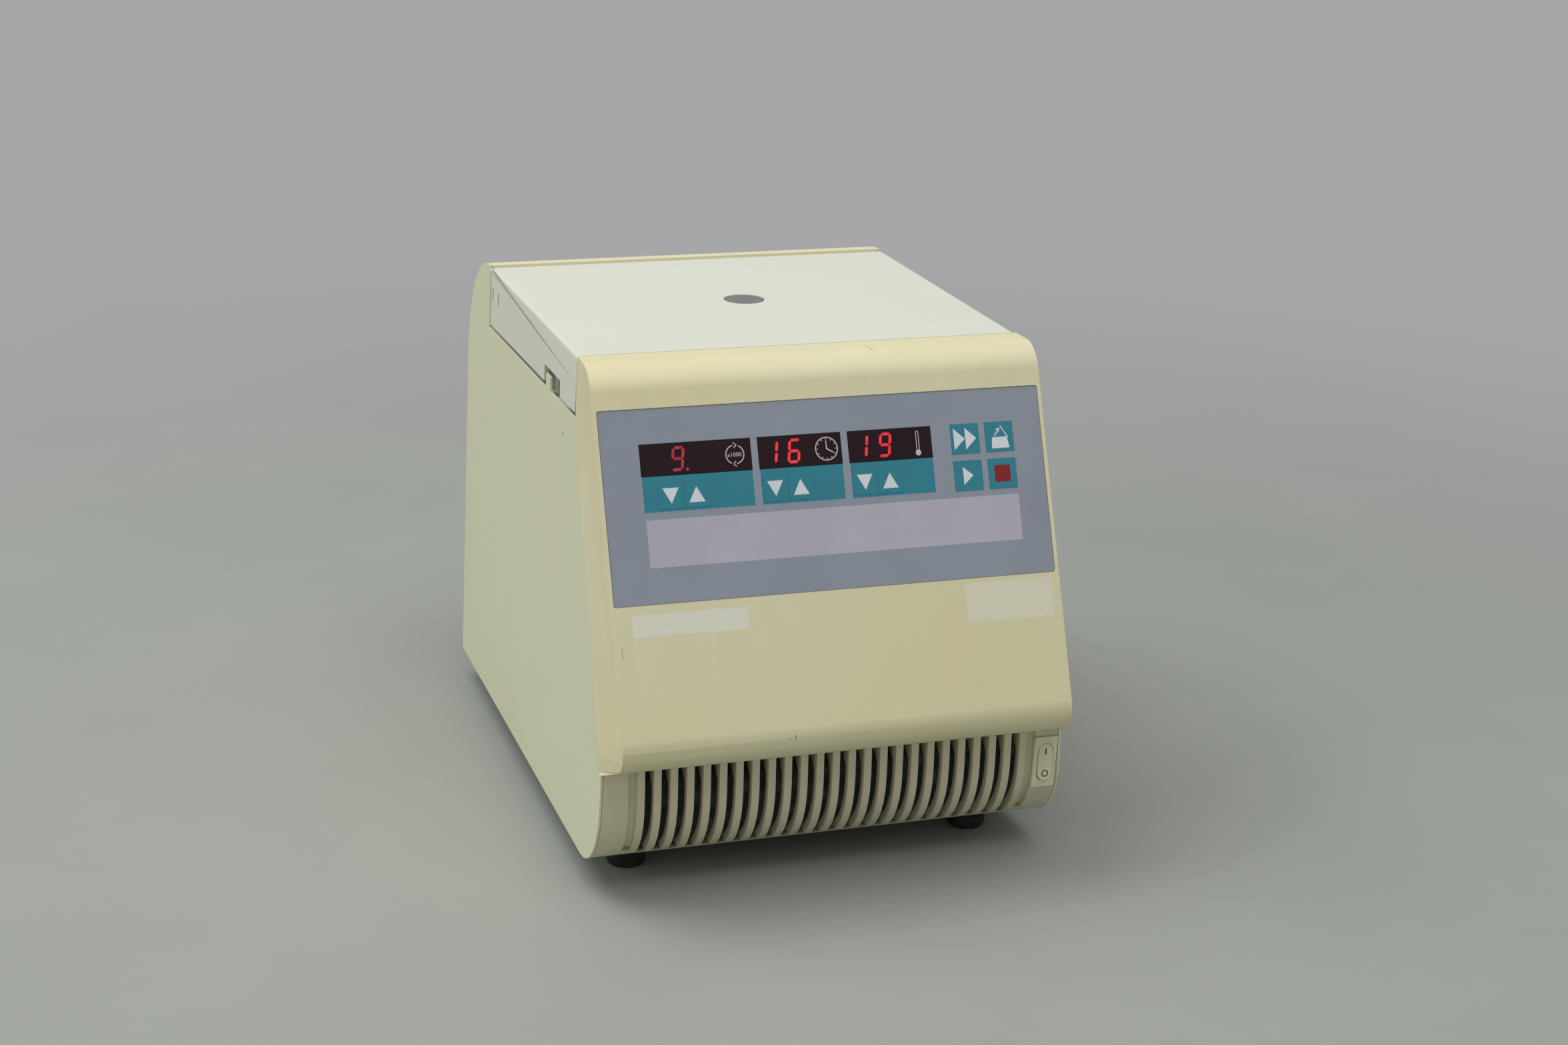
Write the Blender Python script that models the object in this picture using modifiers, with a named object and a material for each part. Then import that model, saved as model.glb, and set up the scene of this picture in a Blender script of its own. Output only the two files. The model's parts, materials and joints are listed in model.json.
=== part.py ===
"""Bench refrigerated micro centrifuge, built piece by piece.

Metres, +Z up. The front of the machine looks along -Y and the origin lies on the bench
under the middle of the body. A place on the side profile is given as a depth, measured
forwards from the rear face, and a height, measured up from the underside of the body.
"""

import bpy
import bmesh
from math import asin, atan2, cos, hypot, pi, radians, sin, tan
from mathutils import Matrix, Vector

MM = 0.001

# Overall sizes of the housing
HALF_WIDTH = 148.0 * MM
BODY_DEPTH = 431.5 * MM
BODY_HEIGHT = 298.5 * MM
SIDE_LEAN_SHARE = 0.030
SIDE_WALL = 1.5 * MM
GAP = 0.3 * MM
OVERRUN = 6.0 * MM

# Rear hump and the step that the lid lies on
HUMP_DEPTH = 66.0 * MM
HUMP_HEIGHT = 74.0 * MM
STEP_DEPTH = 68.0 * MM
LEDGE_DROP = 37.8 * MM
LEDGE_FALL = 4.7 * MM
LEDGE_HEIGHT = BODY_HEIGHT - LEDGE_DROP
LID_SEAM_SET_BACK = 114.5 * MM
LID_SEAM_DEPTH = BODY_DEPTH - LID_SEAM_SET_BACK
SIDE_HOLE_RADIUS = 1.6 * MM
SIDE_HOLE_SET_BACK = 145.5 * MM
SIDE_HOLE_DEPTH = BODY_DEPTH - SIDE_HOLE_SET_BACK
SIDE_HOLE_DROP = 56.5 * MM
SIDE_HOLE_HEIGHT = BODY_HEIGHT - SIDE_HOLE_DROP
LUG_SET_BACK = 186.5 * MM
LUG_DEPTH = BODY_DEPTH - LUG_SET_BACK
LUG_LENGTH = 12.0 * MM
LUG_HEIGHT = 9.0 * MM

# Front moulding
FACE_SET_BACK = 73.0 * MM
FACE_DEPTH = BODY_DEPTH - FACE_SET_BACK
FACE_DROP = 28.0 * MM
FACE_HEIGHT = BODY_HEIGHT - FACE_DROP
MOULDING_WALL = 3.5 * MM
MOULDING_TOP_RADIUS = 21.0 * MM
CURL_RADIUS = 17.0 * MM
CURL_HEIGHT = 91.73 * MM
CURL_END = radians(-66.0)
FACE_RUN = (BODY_DEPTH - CURL_RADIUS - FACE_DEPTH, FACE_HEIGHT - CURL_HEIGHT)
FACE_LEAN = atan2(*FACE_RUN) + asin(CURL_RADIUS / hypot(*FACE_RUN))
FLANK_WIDTH = 40.0 * MM
FACE_INSET = 8.2 * MM
FACE_HALF_WIDTH = HALF_WIDTH - FACE_INSET
EDGE_ROUND = 3.0 * MM

# Grille
GRILLE_SET_BACK = 27.5 * MM
GRILLE_DEPTH = BODY_DEPTH - GRILLE_SET_BACK
GRILLE_CURVE_DEPTH = 42.0 * MM
GRILLE_CURVE_HEIGHT = 50.0 * MM
GRILLE_WALL = 6.0 * MM
GRILLE_TOP = 80.0 * MM
GRILLE_LIP_DEPTH = 6.0 * MM
GRILLE_TUCK = 12.0 * MM
GRILLE_FLANGE = 17.0 * MM
GRILLE_FLANGE_THICKNESS = 3.0 * MM
SLOT_COUNT = 24
SLOT_PITCH = 10.1 * MM
SLOT_WIDTH = 5.6 * MM
SLOT_FOOT = 7.0 * MM
SLOT_HEAD = 70.0 * MM
GROOVE_DEPTH = 3.0 * MM
MESH_THICKNESS = 1.0 * MM
MESH_INSET = 25.0 * MM
MESH_HALF_WIDTH = HALF_WIDTH - MESH_INSET

# Operating panel, measured from the middle of its top edge: across, and down the slope
PANEL_MARGIN = 2.5 * MM
PANEL_HALF_WIDTH = FACE_HALF_WIDTH - PANEL_MARGIN
PANEL_LENGTH = 113.4 * MM
PANEL_TOP_DROP = 23.2 * MM
PANEL_TOP_HEIGHT = BODY_HEIGHT - PANEL_TOP_DROP
PANEL_CORNER = 1.5 * MM
PANEL_SUNK = 0.4 * MM
PANEL_THICKNESS = 1.0 * MM
PANEL_BACK_MARGIN = 13.8 * MM
PANEL_BACK_HALF_WIDTH = FACE_HALF_WIDTH - PANEL_BACK_MARGIN
PANEL_BACK_TOP = 12.0 * MM
PANEL_BACK_END = 70.0 * MM
ROW_TOP = 20.8 * MM
ROW_MIDDLE = 39.3 * MM
WINDOW_STARTS = (-114.0 * MM, -42.3 * MM, 13.6 * MM)
WINDOW_WIDTHS = (67.0 * MM, 51.2 * MM, 52.4 * MM)
WINDOW_THICKNESS = 2.4 * MM
KEY_THICKNESS = 3.2 * MM
KEY_PROUD = 0.2 * MM
KEY_SIDE = 17.6 * MM
KEY_COLUMNS = (78.9 * MM, 101.0 * MM)
KEY_ROWS = (20.8 * MM, 43.1 * MM)
ARROW_SIDE = 14.4 * MM
ARROW_TOP = 44.2 * MM
ARROW_CENTRES = (-97.5 * MM, -82.0 * MM, -33.9 * MM, -18.2 * MM, 21.9 * MM, 37.7 * MM)

# Display board behind the panel
BOARD_MARGIN = 16.8 * MM
BOARD_HALF_WIDTH = FACE_HALF_WIDTH - BOARD_MARGIN
BOARD_TOP = 6.0 * MM
BOARD_LENGTH = 98.0 * MM
BOARD_THICKNESS = 1.6 * MM
BOARD_FRONT = 10.4 * MM
BOARD_PARTS_FRONT = 4.6 * MM
BOARD_MARGIN = 4.0 * MM
BOARD_POST_RADIUS = 3.0 * MM
BOARD_POST_MARGIN = 8.8 * MM
BOARD_POST_ACROSS = FACE_HALF_WIDTH - BOARD_POST_MARGIN
BOARD_EAR = 9.0 * MM
BOARD_EARS = (10.0 * MM, 84.0 * MM)
EAR_INSET_SHARE = 0.2

# Power switch, in its own frame on the grille
SWITCH_INSET = 11.4 * MM
SWITCH_ACROSS = HALF_WIDTH - SWITCH_INSET
SWITCH_SUNK = 0.4 * MM
SWITCH_DEPTH = GRILLE_DEPTH - SWITCH_SUNK
SWITCH_HEIGHT = 47.0 * MM
SWITCH_TILT = radians(5.0)
BEZEL_WIDTH = 15.0 * MM
BEZEL_LENGTH = 34.4 * MM
BEZEL_THICKNESS = 2.6 * MM
SWITCH_BODY_WIDTH = 12.6 * MM
SWITCH_BODY_LENGTH = 30.0 * MM
SWITCH_BODY_DEPTH = 20.0 * MM
ROCKER_WIDTH = 9.4 * MM
ROCKER_LENGTH = 25.0 * MM
ROCKER_THICKNESS = 4.6 * MM
ROCKER_REST = radians(5.0)
ROCKER_ROOM = 2.6 * MM
ROCKER_PROUD = 0.9 * MM

# Lid
LID_WALL = 3.0 * MM
SKIRT_GAP = 3.0 * MM
SKIRT_HEIGHT = LEDGE_HEIGHT + SKIRT_GAP
PIVOT_RADIUS = 8.0 * MM
LID_REAR_DEPTH = 69.0 * MM
LID_FRONT_GAP = 0.6 * MM
LID_FRONT_DEPTH = LID_SEAM_DEPTH - LID_FRONT_GAP
LID_FRONT_SET_BACK = 1.8 * MM
LID_FRONT_WALL_DROP = 17.5 * MM
LID_FRONT_WALL_HEIGHT = BODY_HEIGHT - LID_FRONT_WALL_DROP
LID_EDGE_ROUND = 3.0 * MM
NOTCH_LEAD = 11.0 * MM
NOTCH_START = LUG_DEPTH - NOTCH_LEAD
NOTCH_LENGTH = 42.0 * MM
NOTCH_HEIGHT = 9.2 * MM
OVAL_DEPTHS = (78.0 * MM, 95.5 * MM)
OVAL_DROP = 17.9 * MM
OVAL_HEIGHT = BODY_HEIGHT - OVAL_DROP
OVAL_LENGTH = 10.0 * MM
OVAL_WIDTH = 3.0 * MM
SIGHT_RADIUS = 13.2 * MM
SIGHT_THICKNESS = 2.8 * MM
SIGHT_HOLE_SHARE = 0.8
LINER_TOP_DROP = 27.5 * MM
LINER_TOP = BODY_HEIGHT - LINER_TOP_DROP
LINER_THICKNESS = 2.5 * MM
LINER_REAR_DEPTH = 112.0 * MM
LINER_FRONT_OFFSET = 5.5 * MM
LINER_FRONT_DEPTH = LID_SEAM_DEPTH - LINER_FRONT_OFFSET
LINER_INSET = 20.0 * MM
LINER_HALF_WIDTH = HALF_WIDTH - LINER_INSET
LINER_DISH_RADIUS = 107.0 * MM
LINER_DISH_BOTTOM_DROP = 37.5 * MM
LINER_DISH_BOTTOM = BODY_HEIGHT - LINER_DISH_BOTTOM_DROP
GASKET_INNER = 97.0 * MM
GASKET_OUTER = 104.0 * MM
GASKET_THICKNESS = 2.7 * MM
STRIKER_ACROSS = 96.0 * MM
STRIKER_WIDTH = 12.0 * MM
STRIKER_OFFSET = 17.0 * MM
STRIKER_DEPTH = LID_SEAM_DEPTH - STRIKER_OFFSET
STRIKER_THICKNESS = 3.0 * MM
STRIKER_BOTTOM_DROP = 58.5 * MM
STRIKER_BOTTOM = BODY_HEIGHT - STRIKER_BOTTOM_DROP
STRIKER_HOLE_RADIUS = 4.4 * MM

# Lid hinge
SHAFT_RADIUS = 3.0 * MM
HINGE_SHAFT_INSET = 24.0 * MM
SHAFT_HALF_LENGTH = HALF_WIDTH - HINGE_SHAFT_INSET
KNUCKLE_RADIUS = 4.7 * MM
BRACKET_INSET = 40.0 * MM
BRACKET_ACROSS = HALF_WIDTH - BRACKET_INSET
BRACKET_THICKNESS = 5.0 * MM
BRACKET_FOOT_LENGTH = 16.0 * MM
BRACKET_FOOT_THICKNESS = 3.0 * MM
BRACKET_FOOT_WIDTH = 12.0 * MM
BRACKET_WEB = 8.0 * MM
ARM_INSET = 50.0 * MM
ARM_ACROSS = HALF_WIDTH - ARM_INSET
ARM_THICKNESS = 8.0 * MM
ARM_LENGTH = 28.0 * MM
SPRING_SHIFT = 4.5 * MM
SPRING_ACROSS = BRACKET_ACROSS + SPRING_SHIFT
SPRING_LENGTH = 8.5 * MM
SPRING_TURNS = 5
SPRING_WIRE_RADIUS = 0.5 * MM
SPRING_CLEARANCE = 0.4 * MM

# Deck round the chamber mouth
DECK_TOP_DROP = 42.5 * MM
DECK_TOP = BODY_HEIGHT - DECK_TOP_DROP
DECK_THICKNESS = 4.0 * MM
DECK_FRONT_OFFSET = 29.0 * MM
DECK_FRONT_DEPTH = LID_SEAM_DEPTH + DECK_FRONT_OFFSET
DECK_FRONT_INSET = 21.0 * MM
DECK_FRONT_HALF_WIDTH = HALF_WIDTH - DECK_FRONT_INSET
DECK_WALL_OFFSET = 1.3 * MM
DECK_WALL_DEPTH = LID_SEAM_DEPTH + DECK_WALL_OFFSET
DECK_WALL_TOP_DROP = 5.5 * MM
DECK_WALL_TOP = BODY_HEIGHT - DECK_WALL_TOP_DROP
RIM_WALL = 2.5 * MM
RIM_TOP_DROP = 33.5 * MM
RIM_TOP = BODY_HEIGHT - RIM_TOP_DROP
RIM_INSET = 15.5 * MM
RIM_HALF_WIDTH = HALF_WIDTH - RIM_INSET
RIM_REAR_DEPTH = 70.5 * MM
RIM_FRONT_OFFSET = 5.0 * MM
RIM_FRONT_DEPTH = LID_SEAM_DEPTH - RIM_FRONT_OFFSET
STRIKER_SLOT_LENGTH = 9.5 * MM
STRIKER_SLOT_WIDTH = 16.0 * MM
STRIKER_SLOT_OFFSET = 20.0 * MM
STRIKER_SLOT_START = LID_SEAM_DEPTH - STRIKER_SLOT_OFFSET

# Chamber
AXIS_OFFSET = 5.35 * MM
AXIS_DEPTH = (RIM_REAR_DEPTH + RIM_FRONT_DEPTH) / 2 + AXIS_OFFSET
BOWL_RADIUS = 101.5 * MM
BOWL_WALL = 1.2 * MM
BOWL_FLANGE = 108.0 * MM
BOWL_FLOOR_DROP = 133.5 * MM
BOWL_FLOOR = BODY_HEIGHT - BOWL_FLOOR_DROP
BOWL_CORNER = 16.0 * MM
BOWL_HOLE = 15.0 * MM
COIL_TUBE_RADIUS = 3.0 * MM
COIL_CLEARANCE = 0.5 * MM
COIL_TURNS = 5
COIL_STEPS = 16
COIL_BOTTOM_DROP = 114.5 * MM
COIL_BOTTOM = BODY_HEIGHT - COIL_BOTTOM_DROP
COIL_PITCH = 12.0 * MM
FOAM_OUTER = 117.0 * MM
FOAM_BOTTOM_DROP = 148.5 * MM
FOAM_BOTTOM = BODY_HEIGHT - FOAM_BOTTOM_DROP
FOAM_FLOOR_DROP = 136.0 * MM
FOAM_FLOOR = BODY_HEIGHT - FOAM_FLOOR_DROP
FOAM_HOLE = 24.0 * MM

# Rotor
ROTOR_RADIUS = 90.0 * MM
ROTOR_BOTTOM_DROP = 126.5 * MM
ROTOR_BOTTOM = BODY_HEIGHT - ROTOR_BOTTOM_DROP
ROTOR_RIM_DROP = 66.5 * MM
ROTOR_RIM = BODY_HEIGHT - ROTOR_RIM_DROP
ROTOR_RIM_INNER = 72.0 * MM
ROTOR_VALLEY = 33.0 * MM
ROTOR_HUB_RADIUS = 15.0 * MM
ROTOR_HUB_TOP_DROP = 76.5 * MM
ROTOR_HUB_TOP = BODY_HEIGHT - ROTOR_HUB_TOP_DROP
ROTOR_BEVEL = 4.0 * MM
ROTOR_SKIRT_HEIGHT = 14.0 * MM
ROTOR_SKIRT_INSET = 7.0 * MM
TUBE_COUNT = 24
TUBE_RADIUS = 5.6 * MM
TUBE_DEPTH = 34.0 * MM
TUBE_CIRCLE = 54.0 * MM
TUBE_ANGLE = radians(45.0)
ROTOR_LID_THICKNESS = 3.0 * MM
ROTOR_LID_RADIUS = 84.0 * MM
ROTOR_LID_BOSS = 22.0 * MM
ROTOR_LID_BOSS_HEIGHT = 3.0 * MM
KNOB_RADIUS = 15.0 * MM
KNOB_HEIGHT = 11.0 * MM
KNOB_STEM_RADIUS = 6.0 * MM
KNOB_FLUTES = 8
KNOB_FLUTE_RADIUS = 3.0 * MM
SOCKET_TOP_DROP = 92.5 * MM
SOCKET_TOP = BODY_HEIGHT - SOCKET_TOP_DROP
SOCKET_RADIUS = 7.3 * MM
THREAD_BOTTOM_DROP = 87.5 * MM
THREAD_BOTTOM = BODY_HEIGHT - THREAD_BOTTOM_DROP

# Drive
MOTOR_RADIUS = 46.0 * MM
MOTOR_TOP_DROP = 150.5 * MM
MOTOR_TOP = BODY_HEIGHT - MOTOR_TOP_DROP
MOTOR_CAP = 12.0 * MM
MOTOR_SHOULDER = 8.0 * MM
MOTOR_FLOOR_SHARE = 0.3804
MOTOR_FLOOR = MOTOR_TOP * MOTOR_FLOOR_SHARE
SHAFT_BOTTOM_SHARE = 0.6622
SHAFT_BOTTOM = MOTOR_TOP * SHAFT_BOTTOM_SHARE
PLATE_RADIUS = 60.0 * MM
PLATE_THICKNESS = 4.0 * MM
DAMPER_COUNT = 3
DAMPER_RADIUS = 9.0 * MM
DAMPER_WAIST = 6.5 * MM
DAMPER_CIRCLE = 48.0 * MM

# Base
TRAY_THICKNESS = 2.0 * MM
TRAY_FLANGE = 25.0 * MM
FOOT_HEIGHT = 20.0 * MM
FOOT_RADIUS = 13.7 * MM
FOOT_TAPER = 1.6 * MM
FOOT_ROUND = 2.0 * MM
FOOT_INSET = 35.0 * MM
FOOT_ACROSS = HALF_WIDTH - FOOT_INSET
FOOT_FRONT_SET_BACK = 93.5 * MM
FOOT_FRONT_DEPTH = BODY_DEPTH - FOOT_FRONT_SET_BACK
FOOT_REAR_DEPTH = 40.0 * MM

# Cooling
COMPRESSOR_RADIUS = 46.0 * MM
COMPRESSOR_HEIGHT_SHARE = 0.8133
COMPRESSOR_HEIGHT = FOAM_BOTTOM * COMPRESSOR_HEIGHT_SHARE
COMPRESSOR_DOME = 18.0 * MM
COMPRESSOR_ACROSS = 74.0 * MM
COMPRESSOR_DEPTH = 76.0 * MM
COMPRESSOR_BAND = 2.5 * MM
COMPRESSOR_STUB = 7.0 * MM
CONDENSER_INSET = 36.0 * MM
CONDENSER_HALF_WIDTH = HALF_WIDTH - CONDENSER_INSET
CONDENSER_BOTTOM = 10.0 * MM
CONDENSER_TOP = 74.0 * MM
CONDENSER_FRONT_SET_BACK = 61.5 * MM
CONDENSER_FRONT = BODY_DEPTH - CONDENSER_FRONT_SET_BACK
CONDENSER_REAR_THICKNESS = 28.0 * MM
CONDENSER_REAR = CONDENSER_FRONT - CONDENSER_REAR_THICKNESS
CONDENSER_FINS = 15
CONDENSER_CUT = 9.0 * MM
CONDENSER_FOOT_WIDTH = 14.0 * MM
FAN_ACROSS = -40.0 * MM
FAN_RADIUS = 28.0 * MM
FAN_HUB = 9.0 * MM
FAN_DEPTH = 12.0 * MM
FAN_BLADES = 7
FAN_BLADE_THICKNESS = 1.6 * MM
FAN_PITCH = radians(38.0)
FAN_CHORD_SHARE = 0.9
FAN_ROOT_SHARE = 0.7
SHROUD_WALL = 3.0 * MM
SHROUD_LENGTH = 22.0 * MM
FAN_POST_RADIUS = 4.0 * MM
PIPE_RADIUS = 3.0 * MM
CORNER_SHARE = 0.45
PIPE_INSET = 24.0 * MM
PIPE_ACROSS = HALF_WIDTH - PIPE_INSET
PIPE_HEIGHT_SHARE = 0.92
PIPE_HEIGHT = FOAM_BOTTOM * PIPE_HEIGHT_SHARE
PIPE_END_MARGIN = 12.0 * MM
PIPE_END_ACROSS = CONDENSER_HALF_WIDTH - PIPE_END_MARGIN

# Electronics at the rear
CONTROL_INSET = 30.0 * MM
CONTROL_ACROSS = HALF_WIDTH - CONTROL_INSET
CONTROL_THICKNESS = 1.6 * MM
CONTROL_START = 30.0 * MM
CONTROL_LENGTH = 150.0 * MM
CONTROL_BOTTOM = 8.0 * MM
CONTROL_TOP_SHARE = 0.7333
CONTROL_TOP = FOAM_BOTTOM * CONTROL_TOP_SHARE
CONTROL_POST_RADIUS = 3.0 * MM
CONTROL_POST_HEIGHT = 16.0 * MM
CONTROL_POST_SHARES = (0.12, 0.88)
CONTROL_PARTS = ((0.16, 0.62, 0.20, 0.34, 30.0 * MM), (0.52, 0.30, 0.16, 0.26, 18.0 * MM),
                 (0.80, 0.66, 0.22, 0.30, 24.0 * MM))
INLET_INSET = 52.0 * MM
INLET_ACROSS = HALF_WIDTH - INLET_INSET
INLET_HEIGHT = 44.0 * MM
INLET_WIDTH = 27.0 * MM
INLET_TALL = 19.0 * MM
INLET_PLATE_WIDTH = 48.0 * MM
INLET_PLATE_TALL = 24.0 * MM
INLET_PLATE = 2.4 * MM
INLET_LENGTH = 22.0 * MM
INLET_ROOM_WIDTH = 23.4 * MM
INLET_ROOM_TALL = 15.6 * MM
INLET_ROOM_LENGTH = 17.0 * MM
PIN_WIDTH = 2.0 * MM
PIN_TALL = 4.0 * MM
PIN_PITCH = 7.0 * MM
PIN_RISE = 2.0 * MM
PIN_SHORT = 4.0 * MM
COVER_WALL = 3.0 * MM
COVER_FLANGE_HEIGHT = 20.0 * MM
VENT_COUNT = 14
VENT_PITCH = 10.0 * MM
VENT_WIDTH = 4.6 * MM
VENT_BOTTOM = 92.0 * MM
VENT_LENGTH = 70.0 * MM

# Lid lock
LOCK_BAR_OFFSET = 7.0 * MM
LOCK_BAR_DEPTH = LID_SEAM_DEPTH + LOCK_BAR_OFFSET
LOCK_BAR_THICKNESS = 4.0 * MM
LOCK_BAR_TOP_DROP = 47.2 * MM
LOCK_BAR_TOP = BODY_HEIGHT - LOCK_BAR_TOP_DROP
LOCK_BAR_HEIGHT = 7.0 * MM
LOCK_BAR_HALF_LENGTH = 103.0 * MM
LOCK_PIN_RADIUS = 2.6 * MM
LOCK_PIN_OFFSET = 12.4 * MM
LOCK_PIN_START = LID_SEAM_DEPTH - LOCK_PIN_OFFSET
LOCK_PIN_DROP = 3.5 * MM
LOCK_MOTOR_HALF_WIDTH = 22.0 * MM
LOCK_MOTOR_OFFSET = 11.4 * MM
LOCK_MOTOR_START = LID_SEAM_DEPTH + LOCK_MOTOR_OFFSET
LOCK_MOTOR_LENGTH = 17.0 * MM
LOCK_MOTOR_HEIGHT = 30.0 * MM

PIVOT = (LID_REAR_DEPTH + PIVOT_RADIUS, BODY_HEIGHT - PIVOT_RADIUS)
REAR_Y = BODY_DEPTH / 2
AXIS_Y = REAR_Y - AXIS_DEPTH
ROUND_STEPS = 32
ARC_STEPS = 8

COLOURS = {
    "cream": ((0.56, 0.55, 0.40), 0.55, 0.0),
    "front_cream": ((0.62, 0.58, 0.38), 0.55, 0.0),
    "lid_cream": ((0.66, 0.68, 0.58), 0.5, 0.0),
    "panel_grey": ((0.22, 0.25, 0.29), 0.5, 0.0),
    "window_maroon": ((0.03, 0.01, 0.012), 0.2, 0.0),
    "teal": ((0.04, 0.21, 0.24), 0.5, 0.0),
    "rubber_black": ((0.02, 0.02, 0.02), 0.8, 0.0),
    "mesh_black": ((0.03, 0.03, 0.032), 0.7, 0.3),
    "stainless": ((0.62, 0.62, 0.60), 0.28, 1.0),
    "aluminium": ((0.68, 0.69, 0.70), 0.35, 1.0),
    "steel": ((0.42, 0.43, 0.44), 0.4, 1.0),
    "copper": ((0.72, 0.36, 0.20), 0.35, 1.0),
    "foam": ((0.55, 0.55, 0.50), 0.9, 0.0),
    "board_green": ((0.03, 0.16, 0.07), 0.5, 0.0),
    "black_plastic": ((0.03, 0.03, 0.03), 0.45, 0.0),
    "smoked_clear": ((0.05, 0.05, 0.05), 0.1, 0.0),
}


def clear_scene():
    """Remove what a new Blender file starts with."""
    for item in list(bpy.data.objects):
        bpy.data.objects.remove(item, do_unlink=True)


def collection(name):
    """A collection linked to the scene."""
    made = bpy.data.collections.new(name)
    bpy.context.scene.collection.children.link(made)
    return made


def make_materials():
    """One Principled material for each finish."""
    made = {}
    for name, (colour, roughness, metallic) in COLOURS.items():
        material = bpy.data.materials.new(name)
        material.use_nodes = True
        shader = material.node_tree.nodes["Principled BSDF"]
        shader.inputs["Base Color"].default_value = (*colour, 1.0)
        shader.inputs["Roughness"].default_value = roughness
        shader.inputs["Metallic"].default_value = metallic
        made[name] = material
    return made


clear_scene()
PARTS = collection("refrigerated_centrifuge")
CUTTERS = collection("cutters")
MATERIALS = make_materials()


def y_at(depth):
    """World Y of a depth measured forwards from the rear face."""
    return REAR_Y - depth


def z_at(height):
    """World Z of a height measured up from the underside of the body."""
    return FOOT_HEIGHT + height


def profile_point(depth, height):
    """World (Y, Z) of a place on the side profile."""
    return (y_at(depth), z_at(height))


def arc(centre, radii, start, end, steps=ARC_STEPS):
    """Points along an elliptical arc, both ends included."""
    turn = (end - start) / steps
    return [(centre[0] + radii[0] * cos(start + turn * i), centre[1] + radii[1] * sin(start + turn * i))
            for i in range(steps + 1)]


def clean(mesh):
    """Weld the loose caps and turn every face outwards."""
    work = bmesh.new()
    work.from_mesh(mesh)
    bmesh.ops.remove_doubles(work, verts=work.verts, dist=MM / 1000)
    bmesh.ops.recalc_face_normals(work, faces=work.faces)
    work.to_mesh(mesh)
    work.free()


def bake(item):
    """Replace an object by a plain mesh of what it evaluates to, in world space."""
    graph = bpy.context.evaluated_depsgraph_get()
    mesh = bpy.data.meshes.new_from_object(item.evaluated_get(graph))
    mesh.transform(item.matrix_world)
    name = item.name
    bpy.data.objects.remove(item, do_unlink=True)
    clean(mesh)
    mesh.name = name
    solid = bpy.data.objects.new(name, mesh)
    PARTS.objects.link(solid)
    return solid


def sheet(name, loops, start, end, frame):
    """A flat outline with any inner loops, given thickness along the frame's own Z."""
    curve = bpy.data.curves.new(name, "CURVE")
    curve.dimensions = "2D"
    curve.fill_mode = "BOTH"
    curve.extrude = abs(end - start) / 2
    for loop in loops:
        spline = curve.splines.new("POLY")
        spline.points.add(len(loop) - 1)
        for point, (across, up) in zip(spline.points, loop):
            point.co = (across, up, 0.0, 1.0)
        spline.use_cyclic_u = True
    item = bpy.data.objects.new(name, curve)
    PARTS.objects.link(item)
    item.matrix_world = frame @ Matrix.Translation((0.0, 0.0, (start + end) / 2))
    bpy.context.view_layer.update()
    return bake(item)


def axes_frame(first, second, third, origin=(0.0, 0.0, 0.0)):
    """A matrix whose columns are the three given directions, placed at an origin."""
    return Matrix.Translation(origin) @ Matrix((first, second, third)).transposed().to_4x4()


ACROSS = axes_frame((0, 1, 0), (0, 0, 1), (1, 0, 0))
ALONG = axes_frame((1, 0, 0), (0, 0, 1), (0, -1, 0))
UPRIGHT = Matrix.Identity(4)


def across(name, loops, start, end):
    """A solid of a side profile, loops of world (Y, Z), from one X to another."""
    return sheet(name, loops, start, end, ACROSS)


def along(name, loops, depth_start, depth_end):
    """A solid of a front section, loops of world (X, Z), from one depth to another."""
    return sheet(name, loops, -y_at(depth_start), -y_at(depth_end), ALONG)


def upright(name, loops, bottom, top):
    """A solid of a plan, loops of world (X, Y), from one height to another."""
    return sheet(name, loops, z_at(bottom), z_at(top), UPRIGHT)


def face_frame():
    """Frame of the sloped face: X across, Y up the slope, Z out of the face."""
    height = PANEL_TOP_HEIGHT
    depth = FACE_DEPTH + (FACE_HEIGHT - height) * tan(FACE_LEAN)
    up = (0.0, sin(FACE_LEAN), cos(FACE_LEAN))
    out = (0.0, -cos(FACE_LEAN), sin(FACE_LEAN))
    return axes_frame((1, 0, 0), up, out, (0.0, y_at(depth), z_at(height)))


def switch_frame():
    """Frame of the power switch: X across, Y up, Z out of the grille."""
    up = (0.0, -sin(SWITCH_TILT), cos(SWITCH_TILT))
    out = (0.0, -cos(SWITCH_TILT), -sin(SWITCH_TILT))
    return axes_frame((1, 0, 0), up, out, (SWITCH_ACROSS, y_at(SWITCH_DEPTH), z_at(SWITCH_HEIGHT)))


def rectangle(left, right, bottom, top, corner=0.0, steps=3):
    """A rectangle as a loop, with rounded corners where a radius is given."""
    if corner <= 0.0:
        return [(left, bottom), (right, bottom), (right, top), (left, top)]
    loop = []
    centres = ((right - corner, bottom + corner), (right - corner, top - corner),
               (left + corner, top - corner), (left + corner, bottom + corner))
    for quarter, centre in enumerate(centres):
        start = (quarter - 1) * pi / 2
        loop += arc(centre, (corner, corner), start, start + pi / 2, steps)
    return loop


def circle(centre, radius, steps=ROUND_STEPS):
    """A circle as a loop."""
    return arc(centre, (radius, radius), 0.0, 2 * pi * (steps - 1) / steps, steps - 1)


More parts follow.
